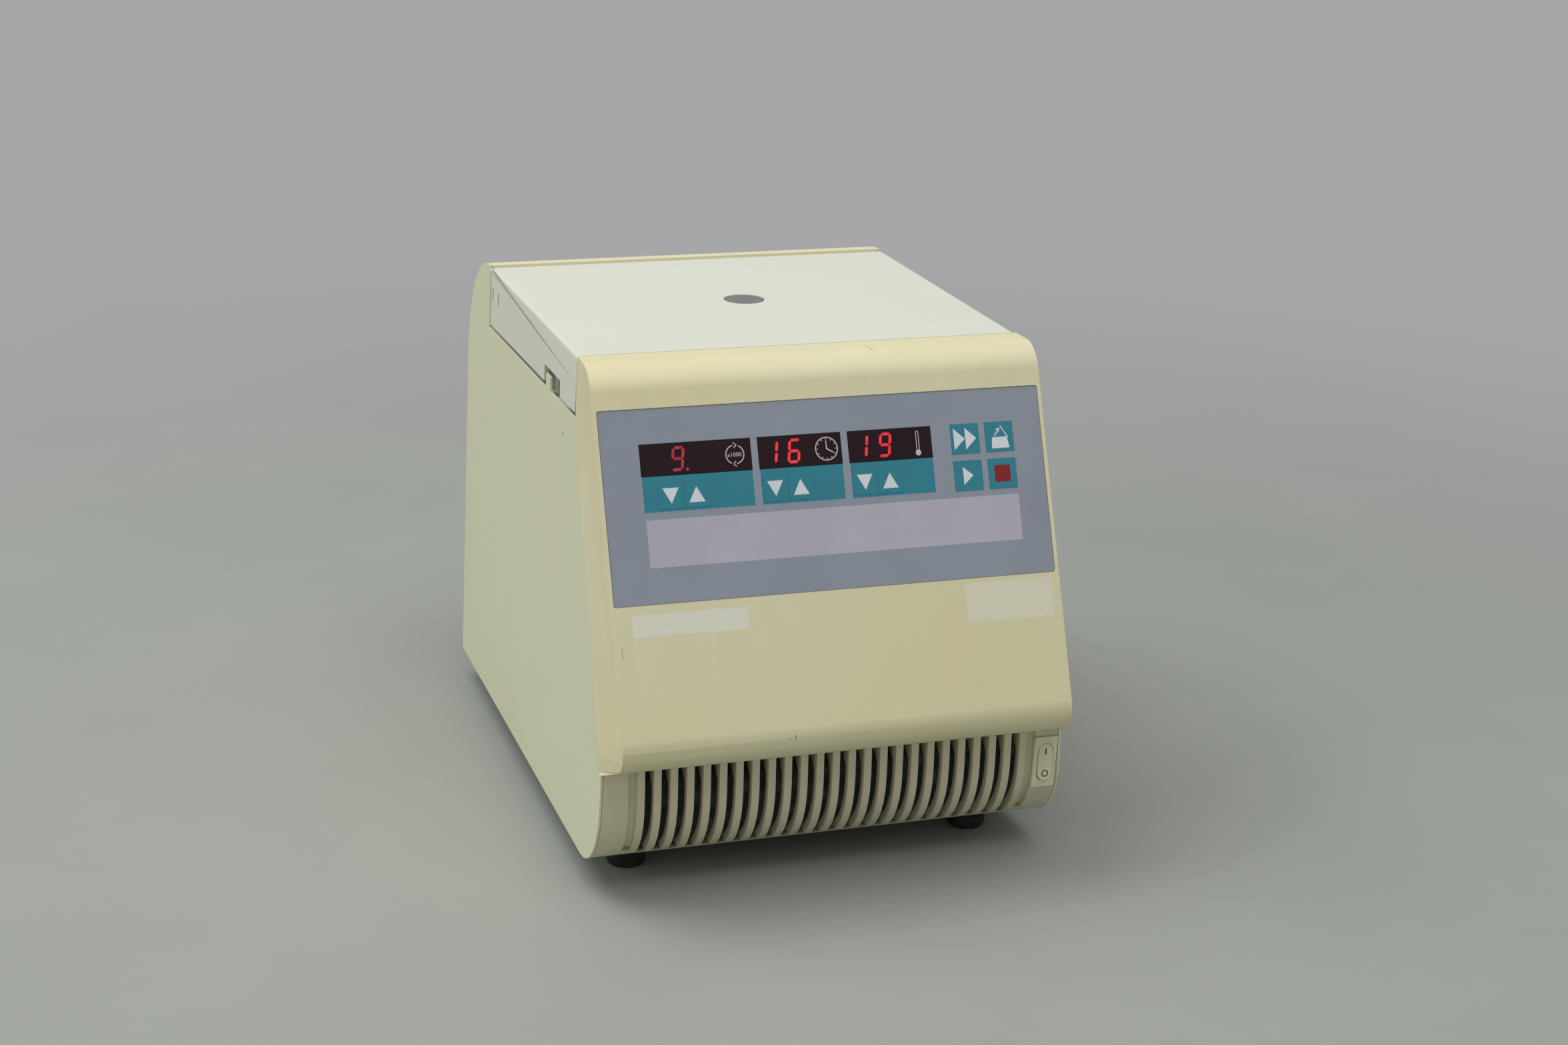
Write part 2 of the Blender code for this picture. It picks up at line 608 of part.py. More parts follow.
def turned(name, profile, centre=(0.0, 0.0, 0.0), steps=ROUND_STEPS, closed=False):
    """A profile of (radius, world Z) turned about a vertical line with the Screw modifier."""
    mesh = bpy.data.meshes.new(name)
    edges = [(i, i + 1) for i in range(len(profile) - 1)]
    if closed:
        edges.append((len(profile) - 1, 0))
    mesh.from_pydata([(radius, 0.0, height) for radius, height in profile], edges, [])
    item = bpy.data.objects.new(name, mesh)
    PARTS.objects.link(item)
    item.location = centre
    screw = item.modifiers.new("turn", "SCREW")
    screw.steps = screw.render_steps = steps
    screw.use_merge_vertices = True
    screw.merge_threshold = MM / 1000
    bpy.context.view_layer.update()
    return bake(item)


def rod(name, radius, start, end, steps=ROUND_STEPS, end_radius=None):
    """A round bar between two world points, from a cone primitive."""
    first, last = Vector(start), Vector(end)
    run = last - first
    work = bmesh.new()
    bmesh.ops.create_cone(work, cap_ends=True, segments=steps, radius1=radius,
                          radius2=radius if end_radius is None else end_radius, depth=run.length)
    turn = run.to_track_quat("Z", "Y").to_matrix().to_4x4()
    bmesh.ops.transform(work, matrix=Matrix.Translation((first + last) / 2) @ turn, verts=work.verts)
    mesh = bpy.data.meshes.new(name)
    work.to_mesh(mesh)
    work.free()
    item = bpy.data.objects.new(name, mesh)
    PARTS.objects.link(item)
    return item


def block(name, low, high):
    """A box between two world corners, from a cube primitive."""
    size = [high[i] - low[i] for i in range(3)]
    middle = [(high[i] + low[i]) / 2 for i in range(3)]
    work = bmesh.new()
    bmesh.ops.create_cube(work, size=1.0)
    bmesh.ops.scale(work, vec=size, verts=work.verts)
    bmesh.ops.translate(work, vec=middle, verts=work.verts)
    mesh = bpy.data.meshes.new(name)
    work.to_mesh(mesh)
    work.free()
    item = bpy.data.objects.new(name, mesh)
    PARTS.objects.link(item)
    return item


def tube(name, points, radius, resolution=1):
    """A round tube along a row of points, with filled ends."""
    curve = bpy.data.curves.new(name, "CURVE")
    curve.dimensions = "3D"
    curve.bevel_depth = radius
    curve.bevel_resolution = resolution
    curve.use_fill_caps = True
    spline = curve.splines.new("POLY")
    spline.points.add(len(points) - 1)
    for point, place in zip(spline.points, points):
        point.co = (*place, 1.0)
    item = bpy.data.objects.new(name, curve)
    PARTS.objects.link(item)
    bpy.context.view_layer.update()
    return bake(item)


def combine(item, other, operation):
    """Join or cut one solid with another, which is kept as a hidden guide."""
    for owner in list(other.users_collection):
        owner.objects.unlink(other)
    CUTTERS.objects.link(other)
    other.hide_render = True
    other.display_type = "WIRE"
    step = item.modifiers.new(other.name, "BOOLEAN")
    step.operation = operation
    step.solver = "EXACT"
    step.object = other
    return item


def cut(item, *others):
    """Take solids away from a solid."""
    for other in others:
        combine(item, other, "DIFFERENCE")
    return item


def join(item, *others):
    """Add solids to a solid."""
    for other in others:
        combine(item, other, "UNION")
    return item


def lean_in(item):
    """Draw the housing in towards its top, as the leaning sides ask."""
    for vertex in item.data.vertices:
        rise = vertex.co.z - FOOT_HEIGHT
        vertex.co.x *= 1.0 - SIDE_LEAN_SHARE * rise / HALF_WIDTH
    return item


def flank_in(item):
    """Draw the moulding in from the side panels to the straight edges of its face."""
    for vertex in item.data.vertices:
        height = vertex.co.z - FOOT_HEIGHT
        depth = REAR_Y - vertex.co.y
        side = HALF_WIDTH - SIDE_LEAN_SHARE * height
        seam = min(max(face_depth(height) - FLANK_WIDTH, LID_SEAM_DEPTH), GRILLE_DEPTH)
        share = min(max((depth - seam) / (FLANK_WIDTH / 2), 0.0), 1.0)
        vertex.co.x *= (side + (FACE_HALF_WIDTH - side) * share) / HALF_WIDTH
    return item


def inner_half_width(height):
    """Half the width between the side panels at a height, with the usual gap."""
    return HALF_WIDTH - SIDE_LEAN_SHARE * height - SIDE_WALL - GAP


def soften(item, width, segments, wanted):
    """Round the edges whose two ends pass a test."""
    mesh = item.data
    weights = mesh.attributes.new("bevel_weight_edge", "FLOAT", "EDGE")
    for edge in mesh.edges:
        ends = [mesh.vertices[i].co for i in edge.vertices]
        weights.data[edge.index].value = 1.0 if wanted(*ends) else 0.0
    bevel = item.modifiers.new("soft_edges", "BEVEL")
    bevel.limit_method = "WEIGHT"
    bevel.width = width
    bevel.segments = segments
    return item


def dress(item, material, smooth=True):
    """Give a finished sub-part its material and shading."""
    item.data.materials.clear()
    item.data.materials.append(MATERIALS[material])
    if smooth:
        item.data.shade_smooth()
        item.data.set_sharp_from_angle(angle=radians(30.0))
    return item


def hump_profile(inset=0.0):
    """Rear upright and hump of the housing, from the bottom up, drawn in by an inset."""
    centre = (HUMP_DEPTH, BODY_HEIGHT - HUMP_HEIGHT)
    radii = (HUMP_DEPTH - inset, HUMP_HEIGHT - inset)
    return [(inset, 0.0)] + arc(centre, radii, pi, pi / 2, ARC_STEPS + 2)


def grille_profile(inset=0.0):
    """Front of the grille from its top down to the underside, drawn in by an inset."""
    centre = (GRILLE_DEPTH - GRILLE_CURVE_DEPTH, GRILLE_CURVE_HEIGHT)
    radii = (GRILLE_CURVE_DEPTH - inset, GRILLE_CURVE_HEIGHT - inset)
    return arc(centre, radii, 0.0, -pi / 2)


def face_depth(height):
    """Depth of the sloped face at a height."""
    return FACE_DEPTH + (FACE_HEIGHT - height) * tan(FACE_LEAN)


def moulding_profile(inset=0.0):
    """Top, sloped face and curl of the front moulding, from the lid seam to the curl's end."""
    top = BODY_HEIGHT - inset
    face_offset = FACE_DEPTH * cos(FACE_LEAN) + FACE_HEIGHT * sin(FACE_LEAN)
    radius = MOULDING_TOP_RADIUS
    top_centre_height = BODY_HEIGHT - radius
    top_centre_depth = (face_offset - radius - top_centre_height * sin(FACE_LEAN)) / cos(FACE_LEAN)
    curl_depth = BODY_DEPTH - CURL_RADIUS
    points = [(LID_SEAM_DEPTH, top)]
    points += arc((top_centre_depth, top_centre_height), (radius - inset, radius - inset), pi / 2, FACE_LEAN)
    points += arc((curl_depth, CURL_HEIGHT), (CURL_RADIUS - inset, CURL_RADIUS - inset), FACE_LEAN, CURL_END)
    last = points[-1]
    run = last[0] - GRILLE_DEPTH
    points.append((GRILLE_DEPTH, last[1] - run * tan(CURL_END + pi / 2)))
    return points


def ledge_height(depth):
    """Height of the ledge under the lid's skirt, which falls a little towards the rear."""
    return LEDGE_HEIGHT - LEDGE_FALL * (LID_SEAM_DEPTH - depth) / (LID_SEAM_DEPTH - STEP_DEPTH)


def seam_foot():
    """Depth and height of the lower end of the seam between side panel and moulding."""
    return moulding_profile()[-1]


def seam_line(shift=0.0):
    """The seam between a side panel and the moulding's flank, from the ledge down."""
    foot = seam_foot()
    knee_height = foot[1] + FLANK_WIDTH / 2
    knee_depth = face_depth(knee_height) - FLANK_WIDTH
    knee_depth = min(knee_depth, foot[0])
    return [(LID_SEAM_DEPTH + shift, LEDGE_HEIGHT), (knee_depth + shift, knee_height),
            (foot[0] - GRILLE_LIP_DEPTH + shift, GRILLE_TOP + GAP),
            (foot[0] - GRILLE_LIP_DEPTH + shift, foot[1])]


def world(points):
    """A row of (depth, height) as world (Y, Z)."""
    return [profile_point(*point) for point in points]


def make_side_panel(name, side):
    """Flat moulded side with the lid's step and the curved toe below the front."""
    outline = hump_profile()
    outline += [(STEP_DEPTH, BODY_HEIGHT), (STEP_DEPTH, ledge_height(STEP_DEPTH))]
    rear_lug, front_lug = LUG_DEPTH - LUG_LENGTH / 2, LUG_DEPTH + LUG_LENGTH / 2
    lug_top = ledge_height(LUG_DEPTH) + LUG_HEIGHT
    outline += [(rear_lug, ledge_height(rear_lug)), (rear_lug, lug_top), (front_lug, lug_top),
                (front_lug, ledge_height(front_lug))]
    outline += seam_line(-GAP)
    foot = seam_foot()
    outline += [(GRILLE_DEPTH, foot[1] - GAP)]
    outline += grille_profile()
    panel = across(name, [world(outline)], side * (HALF_WIDTH - SIDE_WALL), side * HALF_WIDTH)
    if side < 0:
        place = (y_at(SIDE_HOLE_DEPTH), z_at(SIDE_HOLE_HEIGHT))
        hole = rod(name + "_hole", SIDE_HOLE_RADIUS, (side * (HALF_WIDTH - SIDE_WALL - OVERRUN), *place),
                   (side * (HALF_WIDTH + OVERRUN), *place), ARC_STEPS)
        cut(panel, lean_in(hole))
    return dress(lean_in(panel), "cream")


def make_rear_cover():
    """Rear cover: upright back, hump and the step down to the deck, with vents and an inlet hole."""
    outer = hump_profile() + [(STEP_DEPTH - GAP, BODY_HEIGHT)]
    inner = hump_profile(COVER_WALL)
    step_inner = STEP_DEPTH - GAP - COVER_WALL
    inner[-1] = (min(inner[-1][0], step_inner), inner[-1][1])
    low = LEDGE_HEIGHT - COVER_FLANGE_HEIGHT
    outline = outer + [(STEP_DEPTH - GAP, low), (step_inner, low), (step_inner, BODY_HEIGHT - COVER_WALL)]
    outline += list(reversed(inner[:-1]))
    outline[0] = (0.0, TRAY_THICKNESS + GAP)
    outline[-1] = (COVER_WALL, TRAY_THICKNESS + GAP)
    half = HALF_WIDTH - SIDE_WALL - GAP
    cover = across("rear_cover", [world(outline)], -half, half)
    lean_in(cover)
    first = -(VENT_COUNT - 1) / 2 * VENT_PITCH
    for i in range(VENT_COUNT):
        middle = first + i * VENT_PITCH
        slot = rectangle(middle - VENT_WIDTH / 2, middle + VENT_WIDTH / 2, z_at(VENT_BOTTOM),
                         z_at(VENT_BOTTOM + VENT_LENGTH), VENT_WIDTH / 2 - GAP / 10, 2)
        cut(cover, along("rear_vent_%02d" % i, [slot], -OVERRUN, COVER_WALL + OVERRUN))
    middle = z_at(INLET_HEIGHT)
    hole = rectangle(INLET_ACROSS - INLET_WIDTH / 2 - GAP, INLET_ACROSS + INLET_WIDTH / 2 + GAP,
                     middle - INLET_TALL / 2 - GAP, middle + INLET_TALL / 2 + GAP)
    cut(cover, along("inlet_hole", [hole], -OVERRUN, COVER_WALL + OVERRUN))
    return dress(cover, "cream")


def make_front_moulding():
    """Front moulding: big round top edge, sloped face, flanks and the lip curled under."""
    outline = moulding_profile() + list(reversed(seam_line()))
    body = across("front_moulding", [world(outline)], -HALF_WIDTH, HALF_WIDTH)
    front_points = {(round(y, 6), round(z, 6)) for y, z in world(moulding_profile())}

    def on_front(first, last):
        ends = [(round(p.y, 6), round(p.z, 6)) for p in (first, last)]
        at_side = abs(abs(first.x) - HALF_WIDTH) < GAP and abs(abs(last.x) - HALF_WIDTH) < GAP
        return at_side and all(end in front_points for end in ends) and first.x * last.x > 0

    soften(body, EDGE_ROUND, 2, on_front)
    hollow = moulding_profile(MOULDING_WALL)
    hollow[0] = (LID_SEAM_DEPTH - OVERRUN, hollow[0][1])
    hollow += [(GRILLE_DEPTH - GRILLE_LIP_DEPTH - OVERRUN, hollow[-1][1]),
               (LID_SEAM_DEPTH - OVERRUN, FACE_HEIGHT - PANEL_LENGTH)]
    inside = HALF_WIDTH - MOULDING_WALL
    room = across("moulding_room", [world(hollow)], -inside, inside)
    flank_in(body)
    cut(body, flank_in(room))
    frame = face_frame()
    recess = rectangle(-PANEL_HALF_WIDTH - GAP, PANEL_HALF_WIDTH + GAP, -PANEL_LENGTH - GAP, GAP,
                       PANEL_CORNER)
    cut(body, sheet("panel_recess", [recess], -PANEL_SUNK - PANEL_THICKNESS - GAP, OVERRUN, frame))
    back = rectangle(-PANEL_BACK_HALF_WIDTH, PANEL_BACK_HALF_WIDTH, -PANEL_BACK_END, -PANEL_BACK_TOP)
    cut(body, sheet("panel_back_hole", [back], -MOULDING_WALL - OVERRUN, OVERRUN, frame))
    return dress(body, "front_cream")


def slot_places():
    """X of each of the open slots, left to right."""
    first = -(SLOT_COUNT - 1) / 2 * SLOT_PITCH
    return [first + i * SLOT_PITCH for i in range(SLOT_COUNT)]


def grille_back(shift):
    """Back of the grille from under its tucked-in top edge down to the curve, moved back by a shift."""
    back = GRILLE_DEPTH - GAP - GRILLE_LIP_DEPTH - GRILLE_WALL - shift
    knee = GRILLE_CURVE_HEIGHT + GRILLE_TUCK
    return [(back, knee), (GRILLE_DEPTH - GRILLE_WALL - shift, knee - GRILLE_LIP_DEPTH)] + grille_profile(
        GRILLE_WALL + shift)


def make_grille():
    """Lower front: an upright face that curls back under, with open slots and two blind grooves."""
    centre_depth = GRILLE_DEPTH - GRILLE_CURVE_DEPTH
    lip = seam_foot()[1] - GAP
    tuck_front = GRILLE_DEPTH - GRILLE_LIP_DEPTH - GAP
    outer = [(tuck_front - GRILLE_WALL, GRILLE_TOP), (tuck_front, GRILLE_TOP), (tuck_front, lip),
             (GRILLE_DEPTH - GAP, lip)] + grille_profile(GAP)[:-1]
    outer += [(centre_depth, 0.0), (centre_depth - GRILLE_FLANGE, 0.0),
              (centre_depth - GRILLE_FLANGE, GRILLE_FLANGE_THICKNESS)]
    inner = grille_back(0.0)
    outline = outer + [(centre_depth, GRILLE_FLANGE_THICKNESS)] + list(reversed(inner[:-2]))
    half = HALF_WIDTH - SIDE_WALL - GAP
    body = across("grille", [world(outline)], -half, half)
    lean_in(body)
    for i, middle in enumerate(slot_places()):
        cutter = block("slot_%02d" % i, (middle - SLOT_WIDTH / 2, y_at(GRILLE_DEPTH + OVERRUN),
                                         z_at(SLOT_FOOT)),
                       (middle + SLOT_WIDTH / 2, y_at(centre_depth - GRILLE_FLANGE), z_at(SLOT_HEAD)))
        cut(body, cutter)
    skin = [(GRILLE_DEPTH + OVERRUN, SLOT_HEAD), (GRILLE_DEPTH + OVERRUN, SLOT_FOOT)]
    deep = [point for point in grille_profile(GROOVE_DEPTH) if point[1] > SLOT_FOOT]
    skin += list(reversed(deep)) + [(GRILLE_DEPTH - GROOVE_DEPTH, SLOT_HEAD)]
    for side in (-1, 1):
        middle = side * (SLOT_COUNT + 1) / 2 * SLOT_PITCH
        name = "blind_groove_left" if side < 0 else "blind_groove_right"
        cut(body, across(name, [world(skin)], middle - SLOT_WIDTH / 2, middle + SLOT_WIDTH / 2))
    frame = switch_frame()
    pocket = rectangle(-BEZEL_WIDTH / 2 - GAP, BEZEL_WIDTH / 2 + GAP, -BEZEL_LENGTH / 2 - GAP,
                       BEZEL_LENGTH / 2 + GAP)
    cut(body, sheet("switch_pocket", [pocket], -BEZEL_THICKNESS - GAP, OVERRUN, frame))
    hole = rectangle(-SWITCH_BODY_WIDTH / 2 - GAP, SWITCH_BODY_WIDTH / 2 + GAP,
                     -SWITCH_BODY_LENGTH / 2 - GAP, SWITCH_BODY_LENGTH / 2 + GAP)
    cut(body, sheet("switch_hole", [hole], -SWITCH_BODY_DEPTH, OVERRUN, frame))
    return dress(body, "cream")


def make_filter_mesh():
    """Dust filter lying against the back of the grille."""
    near = grille_back(GAP)[:-1]
    far = grille_back(GAP + MESH_THICKNESS)[:-1]
    top = GRILLE_TOP - GRILLE_LIP_DEPTH
    outline = [(near[0][0], top)] + near + list(reversed(far)) + [(far[0][0], top)]
    return dress(across("filter_mesh", [world(outline)], -MESH_HALF_WIDTH, MESH_HALF_WIDTH), "mesh_black")


def window_spans():
    """Left and right edge of each display window."""
    return [(start, start + width) for start, width in zip(WINDOW_STARTS, WINDOW_WIDTHS)]


def key_places():
    """Name and (left, right, bottom, top) on the sloped face of every key."""
    places = []
    for middle, name in zip(ARROW_CENTRES, ("speed_down", "speed_up", "time_down", "time_up",
                                            "temperature_down", "temperature_up")):
        places.append(("key_" + name, (middle - ARROW_SIDE / 2, middle + ARROW_SIDE / 2,
                                       -ARROW_TOP - ARROW_SIDE, -ARROW_TOP)))
    names = (("short_spin", "lid"), ("start", "stop"))
    for row, row_names in zip(KEY_ROWS, names):
        for left, name in zip(KEY_COLUMNS, row_names):
            places.append(("key_" + name, (left, left + KEY_SIDE, -row - KEY_SIDE, -row)))
    return places


def make_panel():
    """Operating panel with its windows and keys, and the board behind them."""
    frame = face_frame()
    front = -PANEL_SUNK
    outline = rectangle(-PANEL_HALF_WIDTH, PANEL_HALF_WIDTH, -PANEL_LENGTH, 0.0, PANEL_CORNER)
    holes = []
    for left, right in window_spans():
        holes.append(rectangle(left - GAP, right + GAP, -ROW_MIDDLE - GAP, -ROW_TOP + GAP))
    for _, (left, right, bottom, top) in key_places():
        holes.append(rectangle(left - GAP, right + GAP, bottom - GAP, top + GAP))
    panel = sheet("membrane_panel", [outline] + holes, front - PANEL_THICKNESS, front, frame)
    dress(panel, "panel_grey")
    for (left, right), name in zip(window_spans(), ("speed", "time", "temperature")):
        loop = rectangle(left, right, -ROW_MIDDLE, -ROW_TOP)
        dress(sheet("window_" + name, [loop], front - WINDOW_THICKNESS, front, frame), "window_maroon")
    for name, (left, right, bottom, top) in key_places():
        key_front = front + KEY_PROUD
        loop = rectangle(left, right, bottom, top)
        dress(sheet(name, [loop], key_front - KEY_THICKNESS, key_front, frame), "teal")
    plate = rectangle(-BOARD_HALF_WIDTH, BOARD_HALF_WIDTH, -BOARD_TOP - BOARD_LENGTH, -BOARD_TOP)
    board = sheet("display_board", [plate], -BOARD_FRONT - BOARD_THICKNESS, -BOARD_FRONT, frame)
    for i, (left, right) in enumerate(window_spans()):
        loop = rectangle(left + BOARD_MARGIN, right - BOARD_MARGIN, -ROW_MIDDLE + GAP, -ROW_TOP - GAP)
        join(board, sheet("led_module_%d" % i, [loop], -BOARD_FRONT - BOARD_THICKNESS / 2, -BOARD_PARTS_FRONT,
                          frame))
    for name, (left, right, bottom, top) in key_places():
        loop = rectangle(left + BOARD_MARGIN, right - BOARD_MARGIN, bottom + BOARD_MARGIN, top - BOARD_MARGIN)
        join(board, sheet(name + "_switch", [loop], -BOARD_FRONT - BOARD_THICKNESS / 2, -BOARD_PARTS_FRONT,
                          frame))
    reach = BOARD_POST_ACROSS + BOARD_POST_RADIUS + BOARD_MARGIN / 4
    for side in (-1, 1):
        for i, top in enumerate(BOARD_EARS):
            ends = sorted((side * (BOARD_HALF_WIDTH - BOARD_EAR), side * reach))
            ear = rectangle(*ends, -top - BOARD_EAR, -top)
            inset = BOARD_THICKNESS * EAR_INSET_SHARE
            join(board, sheet("board_ear_%d_%d" % (side, i), [ear], inset - BOARD_FRONT - BOARD_THICKNESS,
                              -BOARD_FRONT - inset, frame))
            post = circle((side * BOARD_POST_ACROSS, -top - BOARD_EAR / 2), BOARD_POST_RADIUS, ARC_STEPS)
            join(board, sheet("board_post_%d_%d" % (side, i), [post], -BOARD_FRONT - BOARD_THICKNESS / 2,
                              -MOULDING_WALL - GAP, frame))
    return dress(board, "board_green", smooth=False)


def obround(width, length, steps=6):
    """An upright slot shape with round ends, as a loop about its own middle."""
    radius = width / 2
    reach = length / 2 - radius
    return arc((0.0, reach), (radius, radius), 0.0, pi, steps) + arc((0.0, -reach), (radius, radius), pi,
                                                                     2 * pi, steps)


def make_switch():
    """Power switch: a bezel with its body behind, and the rocker that tips in it."""
    frame = switch_frame()
    bezel = rectangle(-BEZEL_WIDTH / 2, BEZEL_WIDTH / 2, -BEZEL_LENGTH / 2, BEZEL_LENGTH / 2,
                      PANEL_CORNER / 2, 2)
    body = sheet("switch_body", [bezel], -BEZEL_THICKNESS, 0.0, frame)
    back = rectangle(-SWITCH_BODY_WIDTH / 2, SWITCH_BODY_WIDTH / 2, -SWITCH_BODY_LENGTH / 2,
                     SWITCH_BODY_LENGTH / 2)
    join(body, sheet("switch_can", [back], -SWITCH_BODY_DEPTH, -BEZEL_THICKNESS / 2, frame))
    well = obround(ROCKER_WIDTH + 2 * GAP, ROCKER_LENGTH + 2 * GAP)
    floor = -ROCKER_THICKNESS - ROCKER_ROOM
    cut(body, sheet("rocker_well", [well], floor, OVERRUN, frame))
    dress(body, "lid_cream")
    rocker = sheet("switch_rocker", [obround(ROCKER_WIDTH, ROCKER_LENGTH - GAP)], -ROCKER_THICKNESS,
                   ROCKER_PROUD, frame)
    middle = frame @ Matrix.Translation((0.0, 0.0, -ROCKER_THICKNESS / 2))
    rocker.data.transform(middle @ Matrix.Rotation(-ROCKER_REST, 4, "X") @ middle.inverted())
    return dress(rocker, "lid_cream")


def lid_profile():
    """Side profile of the lid: round rear edge on the pivot, and a front set back below."""
    arc_points = arc(PIVOT, (PIVOT_RADIUS, PIVOT_RADIUS), pi, pi / 2, 5)
    foot = LID_FRONT_DEPTH - LID_FRONT_SET_BACK
    return [(LID_REAR_DEPTH, ledge_height(LID_REAR_DEPTH) + SKIRT_GAP)] + arc_points + [
        (LID_FRONT_DEPTH, BODY_HEIGHT), (LID_FRONT_DEPTH, LID_FRONT_WALL_HEIGHT),
        (foot, ledge_height(foot) + SKIRT_GAP)]


def make_lid_shell():
    """Lid shell: top, rounded long edges and the skirts that hang over the side ledges."""
    shell = across("lid_shell", [world(lid_profile())], -HALF_WIDTH, HALF_WIDTH)
    top = z_at(BODY_HEIGHT)

    def long_edge(first, last):
        same_side = first.x * last.x > 0
        at_side = abs(abs(first.x) - HALF_WIDTH) < GAP and abs(abs(last.x) - HALF_WIDTH) < GAP
        on_top = min(first.z, last.z) > top - PIVOT_RADIUS - GAP and abs(first.y - last.y) > GAP
        at_rear = min(first.y, last.y) > y_at(LID_REAR_DEPTH) - GAP
        return same_side and at_side and (on_top or at_rear)

    soften(shell, LID_EDGE_ROUND, 3, long_edge)
    inner_radius = PIVOT_RADIUS - LID_WALL
    ceiling = BODY_HEIGHT - LID_WALL
    room = [(LID_REAR_DEPTH - OVERRUN, SKIRT_HEIGHT - OVERRUN), (LID_REAR_DEPTH - OVERRUN, PIVOT[1])]
    room += arc(PIVOT, (inner_radius, inner_radius), pi, pi / 2, 5)
    room += [(LID_FRONT_DEPTH - LID_WALL, ceiling), (LID_FRONT_DEPTH - LID_WALL, LID_FRONT_WALL_HEIGHT),
             (LID_FRONT_DEPTH + OVERRUN, LID_FRONT_WALL_HEIGHT),
             (LID_FRONT_DEPTH + OVERRUN, SKIRT_HEIGHT - OVERRUN)]
    inside = HALF_WIDTH - LID_WALL
    lean_in(shell)
    cut(shell, lean_in(across("lid_room", [world(room)], -inside, inside)))
    reach = HALF_WIDTH + OVERRUN
    notch = rectangle(NOTCH_START, NOTCH_START + NOTCH_LENGTH, SKIRT_HEIGHT - OVERRUN,
                      SKIRT_HEIGHT + NOTCH_HEIGHT)
    cut(shell, across("skirt_notch", [world(notch)], -reach, reach))
    for i, depth in enumerate(OVAL_DEPTHS):
        loop = [(depth + a, OVAL_HEIGHT + b) for a, b in obround(OVAL_WIDTH, OVAL_LENGTH, 3)]
        cut(shell, across("skirt_oval_%d" % i, [world(loop)], -reach, reach))
    axis = (0.0, AXIS_Y)
    cut(shell, rod("sight_hole", SIGHT_RADIUS, (*axis, z_at(ceiling - OVERRUN)),
                   (*axis, z_at(BODY_HEIGHT + OVERRUN))))
    return dress(shell, "lid_cream")


def make_lid_inside():
    """Sight glass, foam slab, liner with its strikers and the chamber gasket."""
    axis = (0.0, AXIS_Y)
    glass_top = BODY_HEIGHT - GAP / 2
    glass = rod("sight_glass", SIGHT_RADIUS - GAP, (*axis, z_at(glass_top - SIGHT_THICKNESS)),
                (*axis, z_at(glass_top)))
    dress(glass, "smoked_clear")
    sight_inner = SIGHT_RADIUS * SIGHT_HOLE_SHARE
    rear, front = y_at(LINER_REAR_DEPTH), y_at(LINER_FRONT_DEPTH)
    plan = rectangle(-LINER_HALF_WIDTH, LINER_HALF_WIDTH, front, rear, EDGE_ROUND)
    foam_top = BODY_HEIGHT - LID_WALL - GAP
    slab = upright("lid_foam", [plan, circle(axis, sight_inner)], LINER_TOP + GAP, foam_top)
    dress(slab, "foam")
    liner = upright("lid_liner", [plan], LINER_TOP - LINER_THICKNESS, LINER_TOP)
    dish = rod("liner_dish", LINER_DISH_RADIUS, (*axis, z_at(LINER_DISH_BOTTOM)),
               (*axis, z_at(LINER_TOP - LINER_THICKNESS / 2)), ROUND_STEPS,
               LINER_DISH_RADIUS + LINER_THICKNESS)
    join(liner, dish)
    for side in (-1, 1):
        low = (side * STRIKER_ACROSS - STRIKER_WIDTH / 2, y_at(STRIKER_DEPTH + STRIKER_THICKNESS),
               z_at(STRIKER_BOTTOM))
        high = (side * STRIKER_ACROSS + STRIKER_WIDTH / 2, y_at(STRIKER_DEPTH),
                z_at(LINER_TOP - LINER_THICKNESS / 2))
        join(liner, block("striker_%d" % side, low, high))
        pin_height = z_at(LOCK_BAR_TOP - LOCK_PIN_DROP)
        cut(liner, rod("striker_hole_%d" % side, STRIKER_HOLE_RADIUS,
                       (side * STRIKER_ACROSS, y_at(STRIKER_DEPTH - OVERRUN), pin_height),
                       (side * STRIKER_ACROSS, y_at(STRIKER_DEPTH + STRIKER_THICKNESS + OVERRUN), pin_height),
                       12))
    cut(liner, rod("liner_sight_hole", sight_inner, (*axis, z_at(LINER_DISH_BOTTOM - OVERRUN)),
                   (*axis, z_at(LINER_TOP + OVERRUN))))
    dress(liner, "stainless")
    gasket_top = z_at(LINER_DISH_BOTTOM - GAP)
    ring = [(GASKET_OUTER, gasket_top), (GASKET_OUTER, gasket_top - GASKET_THICKNESS),
            (GASKET_INNER, gasket_top - GASKET_THICKNESS), (GASKET_INNER, gasket_top)]
    return dress(turned("lid_gasket", ring, (*axis, 0.0), closed=True), "rubber_black")


